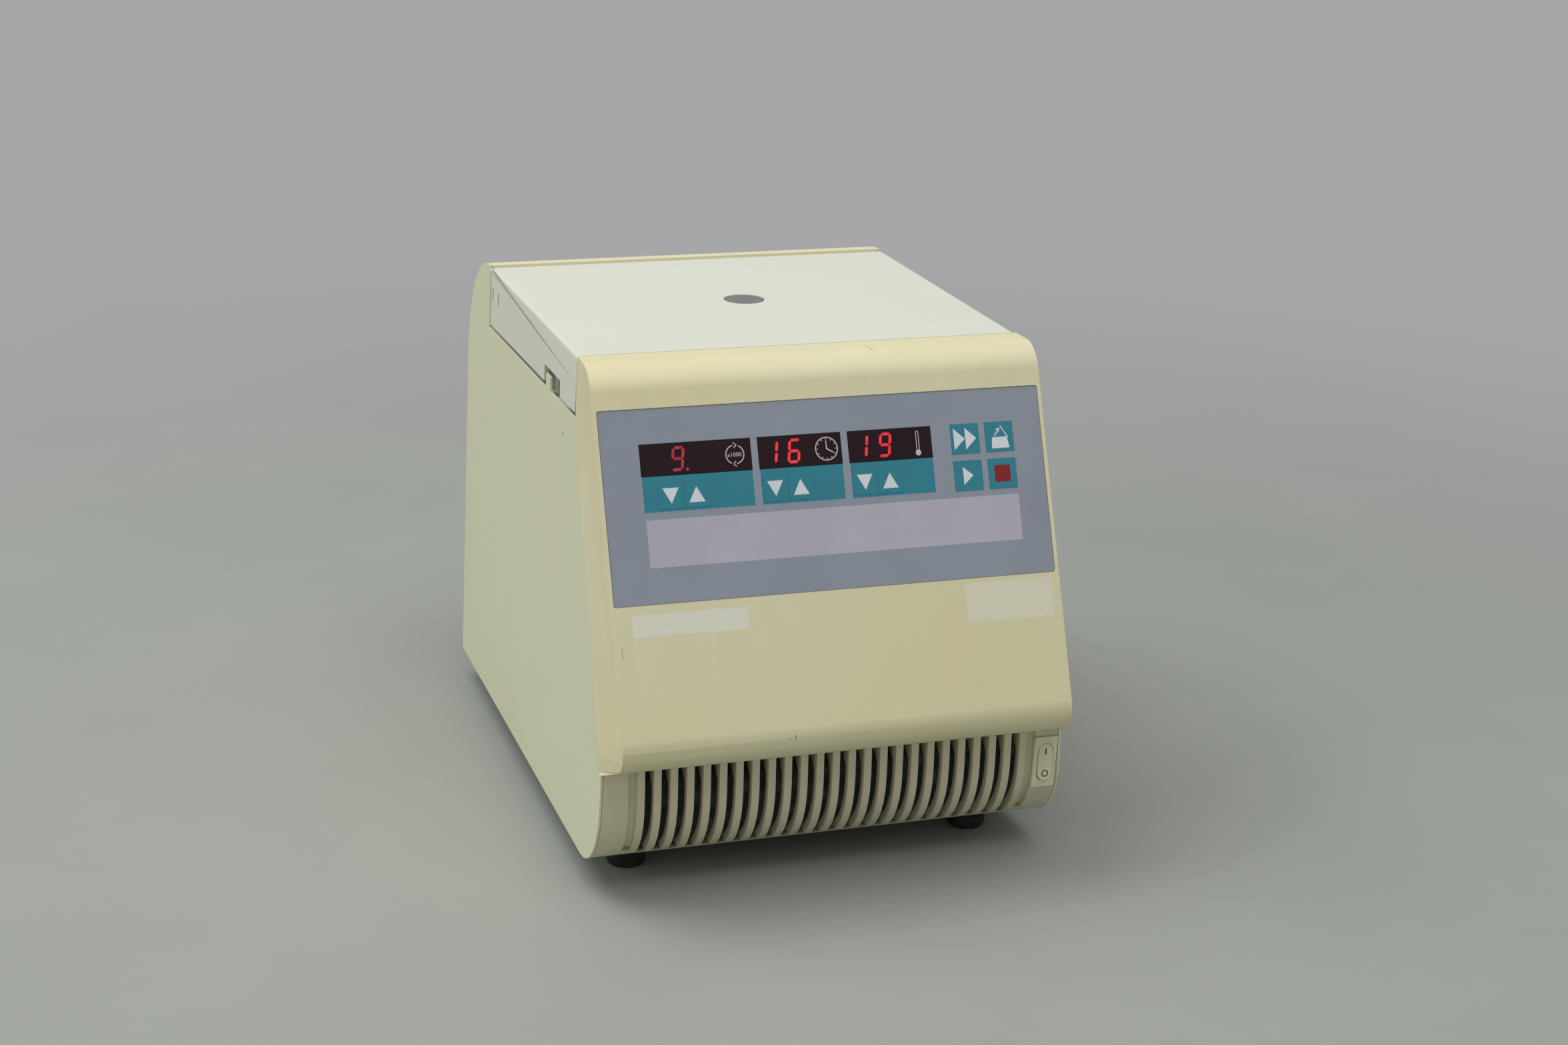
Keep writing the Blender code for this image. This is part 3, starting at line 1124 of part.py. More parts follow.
def make_hinge():
    """Hinge shaft in two deck brackets, the lid's two arms and the spring that lifts it."""
    pivot_y, pivot_z = profile_point(*PIVOT)
    shaft = rod("hinge_shaft", SHAFT_RADIUS, (-SHAFT_HALF_LENGTH, pivot_y, pivot_z),
                (SHAFT_HALF_LENGTH, pivot_y, pivot_z), 16)
    dress(shaft, "steel")
    bore = circle((pivot_y, pivot_z), SHAFT_RADIUS + GAP, 16)
    web_low = z_at(DECK_TOP + GAP) + BRACKET_FOOT_THICKNESS / 2
    web_rear = pivot_y - GAP
    knuckle = circle((pivot_y, pivot_z), KNUCKLE_RADIUS, 16)
    upright_web = [(web_rear - BRACKET_WEB, web_low), (web_rear, web_low),
                   (web_rear, pivot_z - KNUCKLE_RADIUS / 2), (web_rear - BRACKET_WEB, pivot_z - BRACKET_WEB)]
    ceiling = z_at(BODY_HEIGHT - LID_WALL - GAP)
    arm_plate = rectangle(pivot_y - ARM_LENGTH, pivot_y, pivot_z - KNUCKLE_RADIUS / 2, ceiling)
    for side, end in ((-1, "left"), (1, "right")):
        middle = side * BRACKET_ACROSS
        near, far = middle - BRACKET_THICKNESS / 2, middle + BRACKET_THICKNESS / 2
        bracket = across("hinge_bracket_" + end, [upright_web], near, far)
        join(bracket, across("bracket_lug_" + end, [knuckle], near, far))
        foot = rectangle(middle - BRACKET_FOOT_WIDTH / 2, middle + BRACKET_FOOT_WIDTH / 2,
                         web_rear - BRACKET_FOOT_LENGTH, pivot_y)
        join(bracket, upright("bracket_foot_" + end, [foot], DECK_TOP + GAP,
                              DECK_TOP + GAP + BRACKET_FOOT_THICKNESS))
        cut(bracket, across("bracket_bore_" + end, [bore], near - OVERRUN / 3, far + OVERRUN / 3))
        dress(bracket, "steel")
        near, far = side * ARM_ACROSS - ARM_THICKNESS / 2, side * ARM_ACROSS + ARM_THICKNESS / 2
        arm = across("lid_arm_" + end, [arm_plate], near, far)
        join(arm, across("arm_knuckle_" + end, [knuckle], near, far))
        cut(arm, across("arm_bore_" + end, [bore], near - OVERRUN, far + OVERRUN))
        dress(arm, "steel")
    steps = SPRING_TURNS * ARC_STEPS
    radius = (SHAFT_RADIUS + SPRING_CLEARANCE + SPRING_WIRE_RADIUS) / cos(pi / ARC_STEPS)
    points = [(SPRING_ACROSS + SPRING_LENGTH * i / steps, pivot_y + radius * cos(2 * pi * i / ARC_STEPS),
               pivot_z + radius * sin(2 * pi * i / ARC_STEPS)) for i in range(steps + 1)]
    return dress(tube("lid_spring", points, SPRING_WIRE_RADIUS), "steel")


def make_deck():
    """Moulded deck round the chamber mouth, with its rim, front wall and striker slots."""
    wide = inner_half_width(DECK_TOP)
    rear = y_at(STEP_DEPTH + GAP)
    middle_y = y_at(LID_SEAM_DEPTH - GAP)
    front = y_at(DECK_FRONT_DEPTH)
    neck = middle_y - (wide - DECK_FRONT_HALF_WIDTH)
    plan = [(-wide, rear), (-wide, middle_y), (-DECK_FRONT_HALF_WIDTH, neck), (-DECK_FRONT_HALF_WIDTH, front),
            (DECK_FRONT_HALF_WIDTH, front), (DECK_FRONT_HALF_WIDTH, neck), (wide, middle_y), (wide, rear)]
    deck = upright("deck", [plan], DECK_TOP - DECK_THICKNESS, DECK_TOP)
    low, high = z_at(DECK_TOP - DECK_THICKNESS - OVERRUN), z_at(DECK_TOP + OVERRUN)
    cut(deck, rod("bowl_hole", BOWL_RADIUS + GAP, (0.0, AXIS_Y, low), (0.0, AXIS_Y, high)))
    slot_rear = y_at(STRIKER_SLOT_START)
    for side in (-1, 1):
        middle = side * STRIKER_ACROSS
        cut(deck, block("striker_slot_%d" % side,
                        (middle - STRIKER_SLOT_WIDTH / 2, slot_rear - STRIKER_SLOT_LENGTH, low),
                        (middle + STRIKER_SLOT_WIDTH / 2, slot_rear, high)))
    rim_rear, rim_front = y_at(RIM_REAR_DEPTH), y_at(RIM_FRONT_DEPTH)
    outer = rectangle(-RIM_HALF_WIDTH, RIM_HALF_WIDTH, rim_front, rim_rear, EDGE_ROUND)
    inner = rectangle(-RIM_HALF_WIDTH + RIM_WALL, RIM_HALF_WIDTH - RIM_WALL, rim_front + RIM_WALL,
                      rim_rear - RIM_WALL)
    join(deck, upright("deck_rim", [outer, inner], DECK_TOP - DECK_THICKNESS / 2, RIM_TOP))
    wall_half = DECK_FRONT_HALF_WIDTH - RIM_WALL
    wall = rectangle(-wall_half, wall_half, y_at(DECK_WALL_DEPTH + RIM_WALL),
                     y_at(DECK_WALL_DEPTH))
    join(deck, upright("deck_wall", [wall], DECK_TOP - DECK_THICKNESS / 2, DECK_WALL_TOP))
    return dress(deck, "lid_cream")


def make_chamber():
    """Stainless bowl, the evaporator wound round it and the foam cup that insulates it."""
    axis = (0.0, AXIS_Y, 0.0)
    lip = z_at(DECK_TOP + GAP)
    inner_radius = BOWL_RADIUS - BOWL_WALL
    floor = z_at(BOWL_FLOOR)
    outer_curve = arc((BOWL_RADIUS - BOWL_CORNER, floor + BOWL_CORNER), (BOWL_CORNER, BOWL_CORNER), 0.0,
                      -pi / 2, 5)
    small = BOWL_CORNER - BOWL_WALL
    inner_curve = arc((BOWL_RADIUS - BOWL_CORNER, floor + BOWL_CORNER), (small, small), -pi / 2, 0.0, 5)
    profile = [(BOWL_FLANGE, lip + BOWL_WALL), (BOWL_FLANGE, lip), (BOWL_RADIUS, lip)]
    profile += outer_curve + [(BOWL_HOLE, floor), (BOWL_HOLE, floor + BOWL_WALL)] + inner_curve
    profile += [(inner_radius, lip + BOWL_WALL)]
    dress(turned("chamber_bowl", profile, axis, closed=True), "stainless")
    radius = BOWL_RADIUS + COIL_CLEARANCE + COIL_TUBE_RADIUS
    per_turn = COIL_STEPS
    points = []
    for i in range(COIL_TURNS * per_turn + 1):
        turn = 2 * pi * i / per_turn
        points.append((radius / cos(pi / per_turn) * cos(turn),
                       AXIS_Y + radius / cos(pi / per_turn) * sin(turn),
                       z_at(COIL_BOTTOM) + COIL_PITCH * i / per_turn))
    dress(tube("evaporator_coil", points, COIL_TUBE_RADIUS), "copper")
    foam_inner = (radius + COIL_TUBE_RADIUS) / cos(pi / per_turn) + COIL_CLEARANCE
    top = z_at(DECK_TOP - DECK_THICKNESS - GAP)
    foam_outer = foam_inner + FOAM_OUTER - BOWL_FLANGE
    foam = [(foam_outer, top), (foam_outer, z_at(FOAM_BOTTOM)), (FOAM_HOLE, z_at(FOAM_BOTTOM)),
            (FOAM_HOLE, z_at(FOAM_FLOOR)), (foam_inner, z_at(FOAM_FLOOR)), (foam_inner, top)]
    return dress(turned("chamber_foam", foam, axis, closed=True), "foam")


def make_rotor():
    """Fixed-angle rotor with its tube bores, the rotor lid and the fluted knob on top."""
    axis = (0.0, AXIS_Y, 0.0)
    valley = ROTOR_RIM - (ROTOR_RIM_INNER - ROTOR_VALLEY) * tan(TUBE_ANGLE)
    heights = [
        (0.0, THREAD_BOTTOM), (KNOB_STEM_RADIUS + GAP, THREAD_BOTTOM),
        (KNOB_STEM_RADIUS + GAP, ROTOR_HUB_TOP),
        (ROTOR_HUB_RADIUS, ROTOR_HUB_TOP), (ROTOR_HUB_RADIUS, valley + ROTOR_BEVEL), (ROTOR_VALLEY, valley),
        (ROTOR_RIM_INNER, ROTOR_RIM), (ROTOR_RADIUS - ROTOR_BEVEL, ROTOR_RIM),
        (ROTOR_RADIUS, ROTOR_RIM - ROTOR_BEVEL), (ROTOR_RADIUS, ROTOR_BOTTOM + ROTOR_SKIRT_HEIGHT),
        (ROTOR_RADIUS - ROTOR_SKIRT_INSET, ROTOR_BOTTOM), (SOCKET_RADIUS, ROTOR_BOTTOM),
        (SOCKET_RADIUS, SOCKET_TOP), (0.0, SOCKET_TOP)]
    rotor = turned("rotor", [(radius, z_at(height)) for radius, height in heights], axis, 40)
    mouth_height = ROTOR_RIM - (ROTOR_RIM_INNER - TUBE_CIRCLE) * tan(TUBE_ANGLE)
    for i in range(TUBE_COUNT):
        turn = 2 * pi * i / TUBE_COUNT
        out = Vector((cos(turn), sin(turn), 0.0))
        down = out * cos(TUBE_ANGLE) - Vector((0.0, 0.0, sin(TUBE_ANGLE)))
        mouth = Vector((0.0, AXIS_Y, z_at(mouth_height))) + out * TUBE_CIRCLE
        bore = rod("tube_bore_%02d" % i, TUBE_RADIUS, mouth - down * OVERRUN * 2, mouth + down * TUBE_DEPTH,
                   10)
        cut(rotor, bore)
    dress(rotor, "aluminium")
    lid_bottom = ROTOR_RIM + GAP
    lid_top = lid_bottom + ROTOR_LID_THICKNESS
    hole = KNOB_STEM_RADIUS + GAP
    lid = [(ROTOR_LID_BOSS, lid_top + ROTOR_LID_BOSS_HEIGHT), (ROTOR_LID_BOSS, lid_top),
           (ROTOR_LID_RADIUS - ROTOR_BEVEL / 2, lid_top), (ROTOR_LID_RADIUS, lid_top - ROTOR_BEVEL / 2),
           (ROTOR_LID_RADIUS, lid_bottom), (hole, lid_bottom), (hole, lid_top + ROTOR_LID_BOSS_HEIGHT)]
    dress(turned("rotor_lid", [(radius, z_at(height)) for radius, height in lid], axis, 40, closed=True),
          "aluminium")
    knob_bottom = lid_top + ROTOR_LID_BOSS_HEIGHT + GAP
    knob_top = knob_bottom + KNOB_HEIGHT
    knob = [(0.0, knob_top), (KNOB_RADIUS - ROTOR_BEVEL / 2, knob_top),
            (KNOB_RADIUS, knob_top - ROTOR_BEVEL / 2),
            (KNOB_RADIUS, knob_bottom), (KNOB_STEM_RADIUS, knob_bottom),
            (KNOB_STEM_RADIUS, THREAD_BOTTOM + GAP),
            (0.0, THREAD_BOTTOM + GAP)]
    knob = turned("rotor_knob", [(radius, z_at(height)) for radius, height in knob], axis, 24)
    for i in range(KNOB_FLUTES):
        turn = 2 * pi * i / KNOB_FLUTES
        place = (KNOB_RADIUS * cos(turn), AXIS_Y + KNOB_RADIUS * sin(turn))
        cut(knob, rod("knob_flute_%d" % i, KNOB_FLUTE_RADIUS, (*place, z_at(knob_bottom + ROTOR_BEVEL / 2)),
                      (*place, z_at(knob_top + OVERRUN)), 8))
    return dress(knob, "black_plastic")


def make_drive():
    """Drive shaft, motor, its plate and the rubber dampers under it."""
    axis = (0.0, AXIS_Y, 0.0)
    shaft_radius = SOCKET_RADIUS - GAP
    shaft = rod("drive_shaft", shaft_radius, (0.0, AXIS_Y, z_at(SHAFT_BOTTOM)),
                (0.0, AXIS_Y, z_at(SOCKET_TOP - GAP)), 24)
    dress(shaft, "steel")
    inner = shaft_radius + GAP
    shoulder = MOTOR_TOP - MOTOR_SHOULDER
    motor = [(0.0, SHAFT_BOTTOM - GAP), (inner, SHAFT_BOTTOM - GAP), (inner, MOTOR_TOP),
             (MOTOR_RADIUS / 2, MOTOR_TOP), (MOTOR_RADIUS / 2, shoulder),
             (MOTOR_RADIUS - MOTOR_SHOULDER, shoulder), (MOTOR_RADIUS, shoulder - MOTOR_CAP),
             (MOTOR_RADIUS, MOTOR_FLOOR), (0.0, MOTOR_FLOOR)]
    profile = [(radius, z_at(height)) for radius, height in motor]
    dress(turned("motor", profile, axis), "steel")
    plate = upright("motor_plate", [circle((0.0, AXIS_Y), PLATE_RADIUS)], MOTOR_FLOOR - GAP - PLATE_THICKNESS,
                    MOTOR_FLOOR - GAP)
    dress(plate, "aluminium")
    for i in range(DAMPER_COUNT):
        turn = 2 * pi * i / DAMPER_COUNT + pi / 2
        centre = (DAMPER_CIRCLE * cos(turn), AXIS_Y + DAMPER_CIRCLE * sin(turn), 0.0)
        top = z_at(MOTOR_FLOOR - 2 * GAP - PLATE_THICKNESS)
        low = z_at(TRAY_THICKNESS + GAP)
        third = (top - low) / 3
        profile = [(0.0, top), (DAMPER_RADIUS, top), (DAMPER_WAIST, top - third), (DAMPER_WAIST, low + third),
                   (DAMPER_RADIUS, low), (0.0, low)]
        dress(turned("motor_damper_%d" % (i + 1), profile, centre, 16), "rubber_black")


def make_base():
    """Sheet-steel tray with turned-up sides, standing on four rubber feet."""
    half = inner_half_width(TRAY_FLANGE)
    low, floor, high = z_at(0.0), z_at(TRAY_THICKNESS), z_at(TRAY_FLANGE)
    inner = half - TRAY_THICKNESS
    section = [(-half, low), (half, low), (half, high), (inner, high), (inner, floor), (-inner, floor),
               (-inner, high), (-half, high)]
    tray = along("base_tray", [section], COVER_WALL + GAP,
                 GRILLE_DEPTH - GRILLE_CURVE_DEPTH - GRILLE_FLANGE - GAP)
    dress(tray, "steel")
    for side, end in ((-1, "left"), (1, "right")):
        for depth, where in ((FOOT_FRONT_DEPTH, "front"), (FOOT_REAR_DEPTH, "rear")):
            top = z_at(0.0) - GAP
            profile = [(0.0, top), (FOOT_RADIUS, top), (FOOT_RADIUS - FOOT_TAPER, FOOT_ROUND),
                       (FOOT_RADIUS - FOOT_TAPER - FOOT_ROUND / 2, 0.0), (0.0, 0.0)]
            foot = turned("foot_%s_%s" % (where, end), profile, (side * FOOT_ACROSS, y_at(depth), 0.0), 24)
            dress(foot, "rubber_black")


def make_cooling():
    """Compressor, condenser with its shroud, the fan and the pipe between them."""
    low = z_at(TRAY_THICKNESS + GAP)
    top = low + COMPRESSOR_HEIGHT
    radius = COMPRESSOR_RADIUS
    centre = (COMPRESSOR_ACROSS, y_at(COMPRESSOR_DEPTH), 0.0)
    dome = arc((radius - COMPRESSOR_DOME, top - COMPRESSOR_DOME), (COMPRESSOR_DOME, COMPRESSOR_DOME), pi / 2,
               0.0, 5)
    middle = (top + low) / 2
    band = COMPRESSOR_BAND
    foot_round = arc((radius - COMPRESSOR_DOME / 2, low + COMPRESSOR_DOME / 2),
                     (COMPRESSOR_DOME / 2, COMPRESSOR_DOME / 2), 0.0, -pi / 2, 3)
    profile = [(0.0, top + COMPRESSOR_STUB), (PIPE_RADIUS + GAP, top + COMPRESSOR_STUB),
               (PIPE_RADIUS + GAP, top)]
    profile += dome + [(radius, middle + band), (radius + band, middle + band),
                       (radius + band, middle - band),
                       (radius, middle - band)] + foot_round + [(0.0, low)]
    dress(turned("compressor", profile, centre), "black_plastic")

    bottom = z_at(TRAY_THICKNESS + GAP)
    core_low, core_high = z_at(CONDENSER_BOTTOM), z_at(CONDENSER_TOP)
    rear, front = y_at(CONDENSER_REAR), y_at(CONDENSER_FRONT)
    condenser = block("condenser", (-CONDENSER_HALF_WIDTH, front, core_low),
                      (CONDENSER_HALF_WIDTH, rear, core_high))
    pitch = 2 * CONDENSER_HALF_WIDTH / (CONDENSER_FINS + 1)
    for i in range(CONDENSER_FINS):
        middle_x = -CONDENSER_HALF_WIDTH + pitch * (i + 1)
        cut(condenser, block("fin_gap_%02d" % i, (middle_x - pitch / 4, front - OVERRUN,
                                                  core_low + OVERRUN / 2),
                             (middle_x + pitch / 4, front + CONDENSER_CUT, core_high - OVERRUN / 2)))
    for side in (-1, 1):
        outer = side * (CONDENSER_HALF_WIDTH - CONDENSER_FOOT_WIDTH)
        xs = sorted((outer, side * CONDENSER_HALF_WIDTH))
        tray_front = y_at(GRILLE_DEPTH - GRILLE_CURVE_DEPTH - GRILLE_FLANGE)
        join(condenser, block("condenser_foot_%d" % side, (xs[0], tray_front + GAP * 2, bottom),
                              (xs[1], rear + OVERRUN, core_low + OVERRUN)))
    fan_z = (core_low + core_high) / 2
    shroud_outer = FAN_RADIUS + GAP * 4 + SHROUD_WALL
    ring = [circle((FAN_ACROSS, fan_z), shroud_outer),
            circle((FAN_ACROSS, fan_z), shroud_outer - SHROUD_WALL)]
    join(condenser, along("fan_shroud", ring, CONDENSER_REAR - SHROUD_LENGTH, CONDENSER_REAR + OVERRUN / 3))
    post_end = CONDENSER_REAR - OVERRUN / 2
    join(condenser, rod("fan_post", FAN_POST_RADIUS, (FAN_ACROSS, rear - OVERRUN / 3, fan_z),
                        (FAN_ACROSS, y_at(post_end), fan_z), 12))
    dress(condenser, "aluminium", smooth=False)

    fan_front = post_end - GAP
    fan_rear = fan_front - FAN_DEPTH
    fan = rod("fan_blades", FAN_HUB, (FAN_ACROSS, y_at(fan_front), fan_z),
              (FAN_ACROSS, y_at(fan_rear), fan_z), 20)
    fan_y = (y_at(fan_front) + y_at(fan_rear)) / 2
    for i in range(FAN_BLADES):
        turn = Matrix.Rotation(2 * pi * i / FAN_BLADES, 4, "Y")
        pitch_turn = Matrix.Rotation(FAN_PITCH, 4, "X")
        half = FAN_BLADE_THICKNESS / 2
        chord = FAN_DEPTH / 2 / cos(FAN_PITCH) * FAN_CHORD_SHARE
        blade = block("fan_blade_%d" % i, (FAN_HUB * FAN_ROOT_SHARE, -half, -chord),
                      (FAN_RADIUS, half, chord))
        blade.data.transform(Matrix.Translation((FAN_ACROSS, fan_y, fan_z)) @ turn @ pitch_turn)
        join(fan, blade)
    dress(fan, "black_plastic")

    stub = top + COMPRESSOR_STUB + GAP
    high = z_at(PIPE_HEIGHT) + PIPE_RADIUS * 2
    end_y = (rear + front) / 2
    knots = [Vector((COMPRESSOR_ACROSS, centre[1], stub)), Vector((COMPRESSOR_ACROSS, centre[1], high)),
             Vector((PIPE_ACROSS, centre[1] - COMPRESSOR_RADIUS, high)), Vector((PIPE_ACROSS, end_y, high)),
             Vector((PIPE_END_ACROSS, end_y, high - PIPE_RADIUS * 8)),
             Vector((PIPE_END_ACROSS, end_y, core_high + GAP))]
    return dress(tube("refrigerant_pipe", rounded_route(knots, PIPE_RADIUS * 3), PIPE_RADIUS), "copper")


def rounded_route(knots, radius):
    """A route through straight runs with each corner turned into a short curve."""
    points = [knots[0]]
    for before, corner, after in zip(knots, knots[1:], knots[2:]):
        reach = min(radius, (before - corner).length * CORNER_SHARE, (after - corner).length * CORNER_SHARE)
        start = corner + (before - corner).normalized() * reach
        end = corner + (after - corner).normalized() * reach
        for i in range(5):
            t = i / 4
            points.append(start * (1 - t) ** 2 + corner * 2 * t * (1 - t) + end * t ** 2)
    return points + [knots[-1]]


def make_electronics():
    """Control board beside the drive and the mains inlet in the rear cover."""
    face = -CONTROL_ACROSS
    back = face - CONTROL_THICKNESS
    start, end = y_at(CONTROL_START + CONTROL_LENGTH), y_at(CONTROL_START)
    low, high = z_at(CONTROL_BOTTOM), z_at(CONTROL_TOP)
    board = block("control_board", (back, start, low), (face, end, high))
    for i, (along_share, up_share, length_share, height_share, tall) in enumerate(CONTROL_PARTS):
        length, height = end - start, high - low
        middle_y, middle_z = start + length * along_share, low + height * up_share
        join(board, block("board_part_%d" % i,
                          (back + CONTROL_THICKNESS / 2, middle_y - length * length_share / 2,
                           middle_z - height * height_share / 2),
                          (face + tall, middle_y + length * length_share / 2,
                           middle_z + height * height_share / 2)))
    tray_inner = inner_half_width(TRAY_FLANGE) - TRAY_THICKNESS
    for i, share in enumerate(CONTROL_POST_SHARES):
        place = (start + (end - start) * share, z_at(CONTROL_POST_HEIGHT))
        join(board, rod("control_post_%d" % i, CONTROL_POST_RADIUS, (-tray_inner + GAP, *place),
                        (back + CONTROL_THICKNESS / 2, *place), 12))
    dress(board, "board_green", smooth=False)

    middle = z_at(INLET_HEIGHT)
    plate = rectangle(INLET_ACROSS - INLET_PLATE_WIDTH / 2, INLET_ACROSS + INLET_PLATE_WIDTH / 2,
                      middle - INLET_PLATE_TALL / 2, middle + INLET_PLATE_TALL / 2, PANEL_CORNER)
    inlet = along("power_inlet", [plate], COVER_WALL + GAP, COVER_WALL + GAP + INLET_PLATE)
    shell = rectangle(INLET_ACROSS - INLET_WIDTH / 2, INLET_ACROSS + INLET_WIDTH / 2, middle - INLET_TALL / 2,
                      middle + INLET_TALL / 2)
    join(inlet, along("inlet_shell", [shell], 0.0, INLET_LENGTH))
    half_width, half_tall = INLET_ROOM_WIDTH / 2, INLET_ROOM_TALL / 2
    slope = half_tall / 2
    room = [(INLET_ACROSS - half_width, middle - half_tall), (INLET_ACROSS + half_width, middle - half_tall),
            (INLET_ACROSS + half_width, middle + half_tall - slope),
            (INLET_ACROSS + half_width - slope, middle + half_tall),
            (INLET_ACROSS - half_width + slope, middle + half_tall),
            (INLET_ACROSS - half_width, middle + half_tall - slope)]
    cut(inlet, along("inlet_room", [room], -OVERRUN, INLET_ROOM_LENGTH))
    for i, place in enumerate((-1, 0, 1)):
        pin_z = middle + (PIN_RISE if place == 0 else -PIN_RISE)
        pin_x = INLET_ACROSS + place * PIN_PITCH
        loop = rectangle(pin_x - PIN_WIDTH / 2, pin_x + PIN_WIDTH / 2, pin_z - PIN_TALL / 2,
                         pin_z + PIN_TALL / 2)
        join(inlet, along("inlet_pin_%d" % i, [loop], PIN_SHORT, INLET_ROOM_LENGTH + OVERRUN / 3))
    return dress(inlet, "black_plastic")


def make_lock():
    """Lid lock: a bar with two pins and the motor that pushes it."""
    top = z_at(LOCK_BAR_TOP)
    rear, front = y_at(LOCK_BAR_DEPTH), y_at(LOCK_BAR_DEPTH + LOCK_BAR_THICKNESS)
    bar = block("lock_bar", (-LOCK_BAR_HALF_LENGTH, front, top - LOCK_BAR_HEIGHT),
                (LOCK_BAR_HALF_LENGTH, rear, top))
    pin_z = top - LOCK_PIN_DROP
    for side in (-1, 1):
        across_pin = side * STRIKER_ACROSS
        join(bar, rod("lock_pin_%d" % side, LOCK_PIN_RADIUS, (across_pin, y_at(LOCK_PIN_START), pin_z),
                      (across_pin, rear - LOCK_BAR_THICKNESS / 2, pin_z), 12))
    dress(bar, "steel")
    motor_top = z_at(DECK_TOP - DECK_THICKNESS - GAP)
    motor = block("lock_motor", (-LOCK_MOTOR_HALF_WIDTH, y_at(LOCK_MOTOR_START + LOCK_MOTOR_LENGTH),
                                 motor_top - LOCK_MOTOR_HEIGHT),
                  (LOCK_MOTOR_HALF_WIDTH, y_at(LOCK_MOTOR_START), motor_top))
    return dress(motor, "black_plastic", smooth=False)


def build():
    """Make every sub-part of the centrifuge."""
    make_base()
    make_side_panel("side_panel_left", -1)
    make_side_panel("side_panel_right", 1)
    make_rear_cover()
    make_front_moulding()
    make_grille()
    make_filter_mesh()
    make_panel()
    make_switch()
    make_deck()
    make_chamber()
    make_rotor()
    make_drive()
    make_cooling()
    make_electronics()
    make_lock()
    make_lid_shell()
    make_lid_inside()
    make_hinge()


build()
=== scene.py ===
"""Looks of a refrigerated bench centrifuge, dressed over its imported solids.

Everything is in metres in the frame of the solids: +Z up, the front looks along -Y and the origin
lies on the bench under the middle of the body. A depth is measured forwards from the rear face and
a height up from the underside of the body, as in the design of the housing.
"""

import json
import logging
import math
from dataclasses import dataclass, field
from enum import Enum

import bmesh
import bpy
from mathutils import Matrix, Vector
from mathutils.bvhtree import BVHTree

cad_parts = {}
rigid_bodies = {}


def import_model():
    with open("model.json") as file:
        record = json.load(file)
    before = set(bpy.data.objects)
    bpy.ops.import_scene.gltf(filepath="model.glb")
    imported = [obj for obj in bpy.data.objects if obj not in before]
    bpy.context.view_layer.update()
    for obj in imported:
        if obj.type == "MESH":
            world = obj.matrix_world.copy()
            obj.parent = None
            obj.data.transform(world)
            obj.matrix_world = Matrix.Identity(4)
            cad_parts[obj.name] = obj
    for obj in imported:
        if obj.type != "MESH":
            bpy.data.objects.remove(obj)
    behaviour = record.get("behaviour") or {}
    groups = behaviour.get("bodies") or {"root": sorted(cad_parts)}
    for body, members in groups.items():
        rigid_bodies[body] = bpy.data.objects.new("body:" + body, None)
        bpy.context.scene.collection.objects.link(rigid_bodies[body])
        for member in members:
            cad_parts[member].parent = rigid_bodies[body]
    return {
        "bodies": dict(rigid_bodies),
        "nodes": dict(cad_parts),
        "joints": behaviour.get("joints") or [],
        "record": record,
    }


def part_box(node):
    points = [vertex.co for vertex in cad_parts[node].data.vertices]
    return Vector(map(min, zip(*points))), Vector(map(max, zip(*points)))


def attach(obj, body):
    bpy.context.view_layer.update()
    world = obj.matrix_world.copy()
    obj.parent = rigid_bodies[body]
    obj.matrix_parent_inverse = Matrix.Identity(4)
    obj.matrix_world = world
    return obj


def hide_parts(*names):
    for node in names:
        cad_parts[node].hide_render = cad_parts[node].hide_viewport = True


LOG = logging.getLogger("centrifuge")
MM = 0.001

Colour = tuple[float, float, float]
Point = tuple[float, float]
Loop = list[Point]

WELD_GAP = MM / 200
FLAT_ANGLE = math.radians(0.4)
CREASE_ANGLE = math.radians(28.0)
SMOOTH_ANGLE = math.radians(40.0)
NORMAL_WEIGHT = 100


def in_mm(*sizes: float) -> tuple[float, ...]:
    """Metres from millimetres."""
    return tuple(size * MM for size in sizes)


class Wire:
    """An output socket of a shader graph, on which arithmetic adds Math nodes."""

    def __init__(self, graph: "Graph", socket: bpy.types.NodeSocket) -> None:
        """Wrap one socket of a graph."""
        self.graph = graph
        self.socket = socket

    def _math(self, operation: str, *values: "Wire | float") -> "Wire":
        """Add a Math node that is fed the values in order."""
        inputs = dict(enumerate(values))
        return self.graph.node("ShaderNodeMath", {"operation": operation}, inputs)

    def __add__(self, other: "Wire | float") -> "Wire":
        """Sum with another wire or number."""
        return self._math("ADD", self, other)

    __radd__ = __add__

    def __mul__(self, other: "Wire | float") -> "Wire":
        """Product with another wire or number."""
        return self._math("MULTIPLY", self, other)

    __rmul__ = __mul__

    def __sub__(self, other: "Wire | float") -> "Wire":
        """Difference, this wire first."""
        return self._math("SUBTRACT", self, other)

    def __rsub__(self, other: float) -> "Wire":
        """Difference, the number first."""
        return self._math("SUBTRACT", other, self)

    def __truediv__(self, other: "Wire | float") -> "Wire":
        """Quotient, this wire first."""
        return self._math("DIVIDE", self, other)

    def __pow__(self, other: float) -> "Wire":
        """This wire raised to a power."""
        return self._math("POWER", self, other)

    def above(self, limit: float, soft: float) -> "Wire":
        """A mask that rises from 0 to 1 round a limit.

        Args:
            limit: value at which the mask is one half.
            soft: width of the rise.

        Returns:
            The mask.
        """
        ranges = {1: limit - soft / 2, 2: limit + soft / 2, 3: 0.0, 4: 1.0}
        settings = {"interpolation_type": "SMOOTHSTEP"}
        return self.graph.node("ShaderNodeMapRange", settings, {0: self, **ranges})


